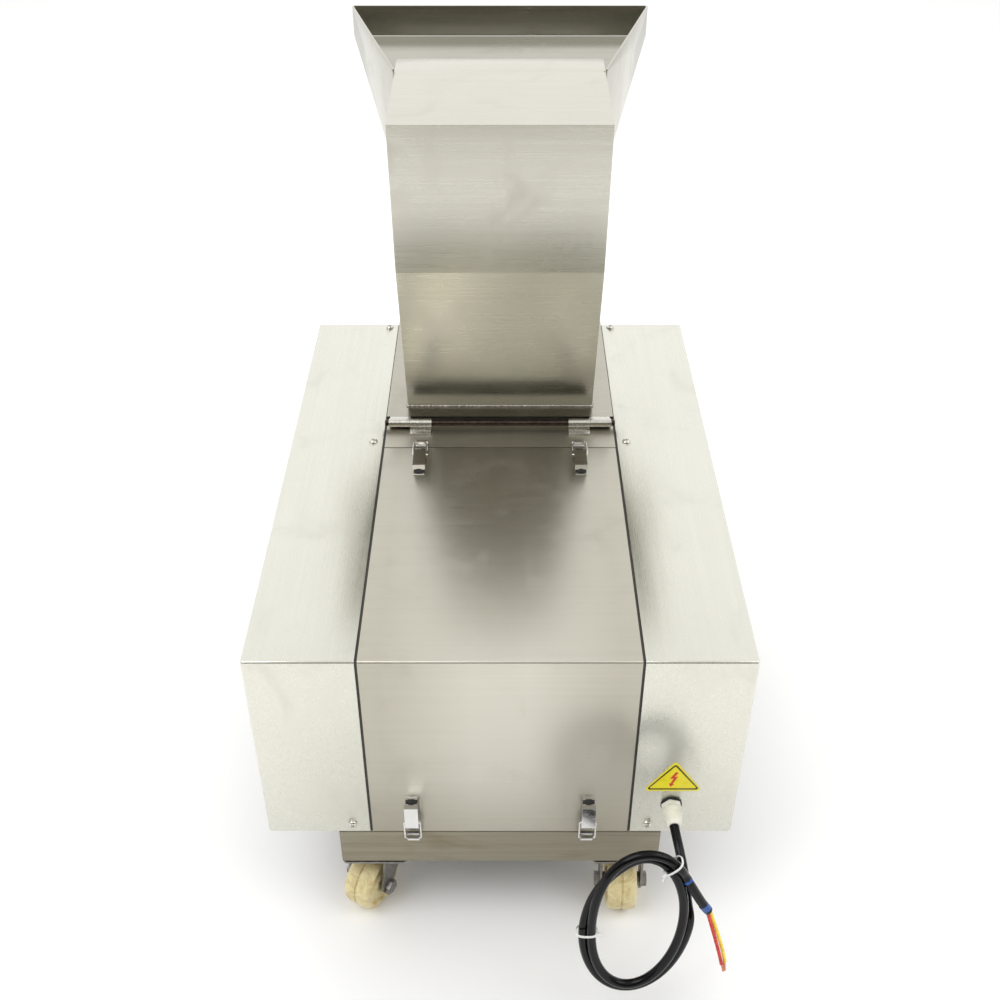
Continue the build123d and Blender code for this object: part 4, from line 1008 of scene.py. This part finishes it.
# ---------------------------------------------------------------- CAD pieces that keep their own shape
finishes = {
    "base_frame": tube_steel, "motor_plate": shade_black_plate, "left_side_plate": shade_black_plate,
    "right_side_plate": shade_black_plate, "chamber_front_wall": shade_black_plate, "roller_guides": shade_black_plate,
    "must_chute": shade_black_plate, "destem_screen": shade_black_plate, "hinge_strip": front_steel,
    "rear_panel": side_steel, "hinge_rod": shaded_rod_steel, "caster_plates": zinc, "flange_bearings": iron,
    "motor_housing": motor_paint, "drive_belt": belt_rubber, "hopper_base_plate": hopper_steel,
    "motor_shaft": turned, "motor_pulley": iron, "destem_rotor": satin_steel, "rotor_pulley": iron,
    "rotor_gear": turned, "roller_rear": nylon, "roller_rear_gears": turned, "roller_front": nylon,
    "roller_front_gear": turned,
}
for name, material in finishes.items():
    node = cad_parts[name]
    node.data.materials.clear()
    node.data.materials.append(material)

# ---------------------------------------------------------------- floor and light
floor_tool = bmesh.new()
bmesh.ops.create_grid(floor_tool, x_segments=1, y_segments=1, size=20)
floor_mesh = bpy.data.meshes.new("floor")
floor_tool.to_mesh(floor_mesh)
floor_tool.free()
floor = new_object("floor", floor_mesh)
floor_look = Nodes("studio_floor")
floor.data.materials.append(floor_look.finish((0.93, 0.93, 0.93), 0.9, Specular_IOR_Level=0.1))
floor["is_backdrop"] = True


def softbox(name, place, aim, size, power):
    """A rectangular area light at place, facing aim (both in metres)."""
    data = bpy.data.lights.new(name, "AREA")
    data.shape = "RECTANGLE"
    data.size, data.size_y = size
    data.energy = power
    light = new_object(name, data)
    light.location = place
    light.rotation_euler = (Vector(aim) - Vector(place)).to_track_quat("-Z", "Y").to_euler()
    return light


softbox("key_light", (-1.8, -1.2, 3.0), (0, 0, 0.3), (2.2, 2.2), 40)
softbox("fill_light", (2.2, -1.0, 2.6), (0, 0, 0.3), (2.2, 2.2), 26)
softbox("top_light", (0, 2.2, 3.2), (0, 0.1, 0.4), (4.0, 2.4), 44).visible_glossy = False

# The studio behind the camera is darker than the backdrop behind the object.
WALL_HALF = 2.2             # metres, as the next two lines
WALL_Y = -2.6
WALL_FOOT, WALL_TOP = 0.02, 1.0
dark_wall_look = Nodes("dark_wall")
dark_wall_material = dark_wall_look.finish((0.075, 0.052, 0.006), 0.9, Specular_IOR_Level=0.1)
wall_tool = bmesh.new()
wall_corners = [
    (-WALL_HALF, WALL_Y, WALL_FOOT), (WALL_HALF, WALL_Y, WALL_FOOT),
    (WALL_HALF, WALL_Y, WALL_TOP), (-WALL_HALF, WALL_Y, WALL_TOP),
]
wall_tool.faces.new([wall_tool.verts.new(corner) for corner in wall_corners])
wall_mesh = bpy.data.meshes.new("dark_wall")
wall_tool.to_mesh(wall_mesh)
wall_tool.free()
dark_wall = new_object("dark_wall", wall_mesh)
dark_wall.data.materials.append(dark_wall_material)
dark_wall.visible_camera = False
dark_wall.visible_shadow = False
dark_wall.visible_diffuse = False
dark_wall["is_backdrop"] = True

world = bpy.data.worlds.new("studio")
world.use_nodes = True
bpy.context.scene.world = world
tree = world.node_tree


def world_range(value, low, high, to_low, to_high):
    """A smooth step on a world direction's part."""
    node = tree.nodes.new("ShaderNodeMapRange")
    node.interpolation_type = "SMOOTHSTEP"
    for key, number in (("From Min", low), ("From Max", high), ("To Min", to_low), ("To Max", to_high)):
        node.inputs[key].default_value = number
    tree.links.new(value, node.inputs["Value"])
    return node.outputs["Result"]


direction = tree.nodes.new("ShaderNodeTexCoord").outputs["Generated"]
parts = tree.nodes.new("ShaderNodeSeparateXYZ")
tree.links.new(direction, parts.inputs["Vector"])
forward = world_range(parts.outputs["Y"], -0.75, -0.1, 1.0, 0.0)
low_down = world_range(parts.outputs["Z"], 0.30, 0.85, 1.0, 0.0)
darkness = tree.nodes.new("ShaderNodeMath")
darkness.operation = "MULTIPLY"
tree.links.new(forward, darkness.inputs[0])
tree.links.new(low_down, darkness.inputs[1])


def world_mix(factor, first, second):
    """Two colours of the studio mixed by a factor; first is a colour or a socket."""
    node = tree.nodes.new("ShaderNodeMix")
    node.data_type = "RGBA"
    sockets = {socket.identifier: socket for socket in node.inputs}
    tree.links.new(factor, sockets["Factor_Float"])
    if isinstance(first, tuple):
        sockets["A_Color"].default_value = (*first, 1)
    else:
        tree.links.new(first, sockets["A_Color"])
    sockets["B_Color"].default_value = (*second, 1)
    return next(socket for socket in node.outputs if socket.identifier == "Result_Color")


away = world_range(parts.outputs["Y"], 0.1, 0.7, 0.0, 1.0)
backdrop = world_mix(away, (1.0, 1.0, 0.985), (1.42, 1.42, 1.42))
sky = world_mix(darkness.outputs["Value"], backdrop, (0.13, 0.115, 0.085))
background = tree.nodes["Background"]
background.inputs["Strength"].default_value = 0.9
tree.links.new(sky, background.inputs["Color"])
bpy.context.scene.view_settings.view_transform = "Standard"

low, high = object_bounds()
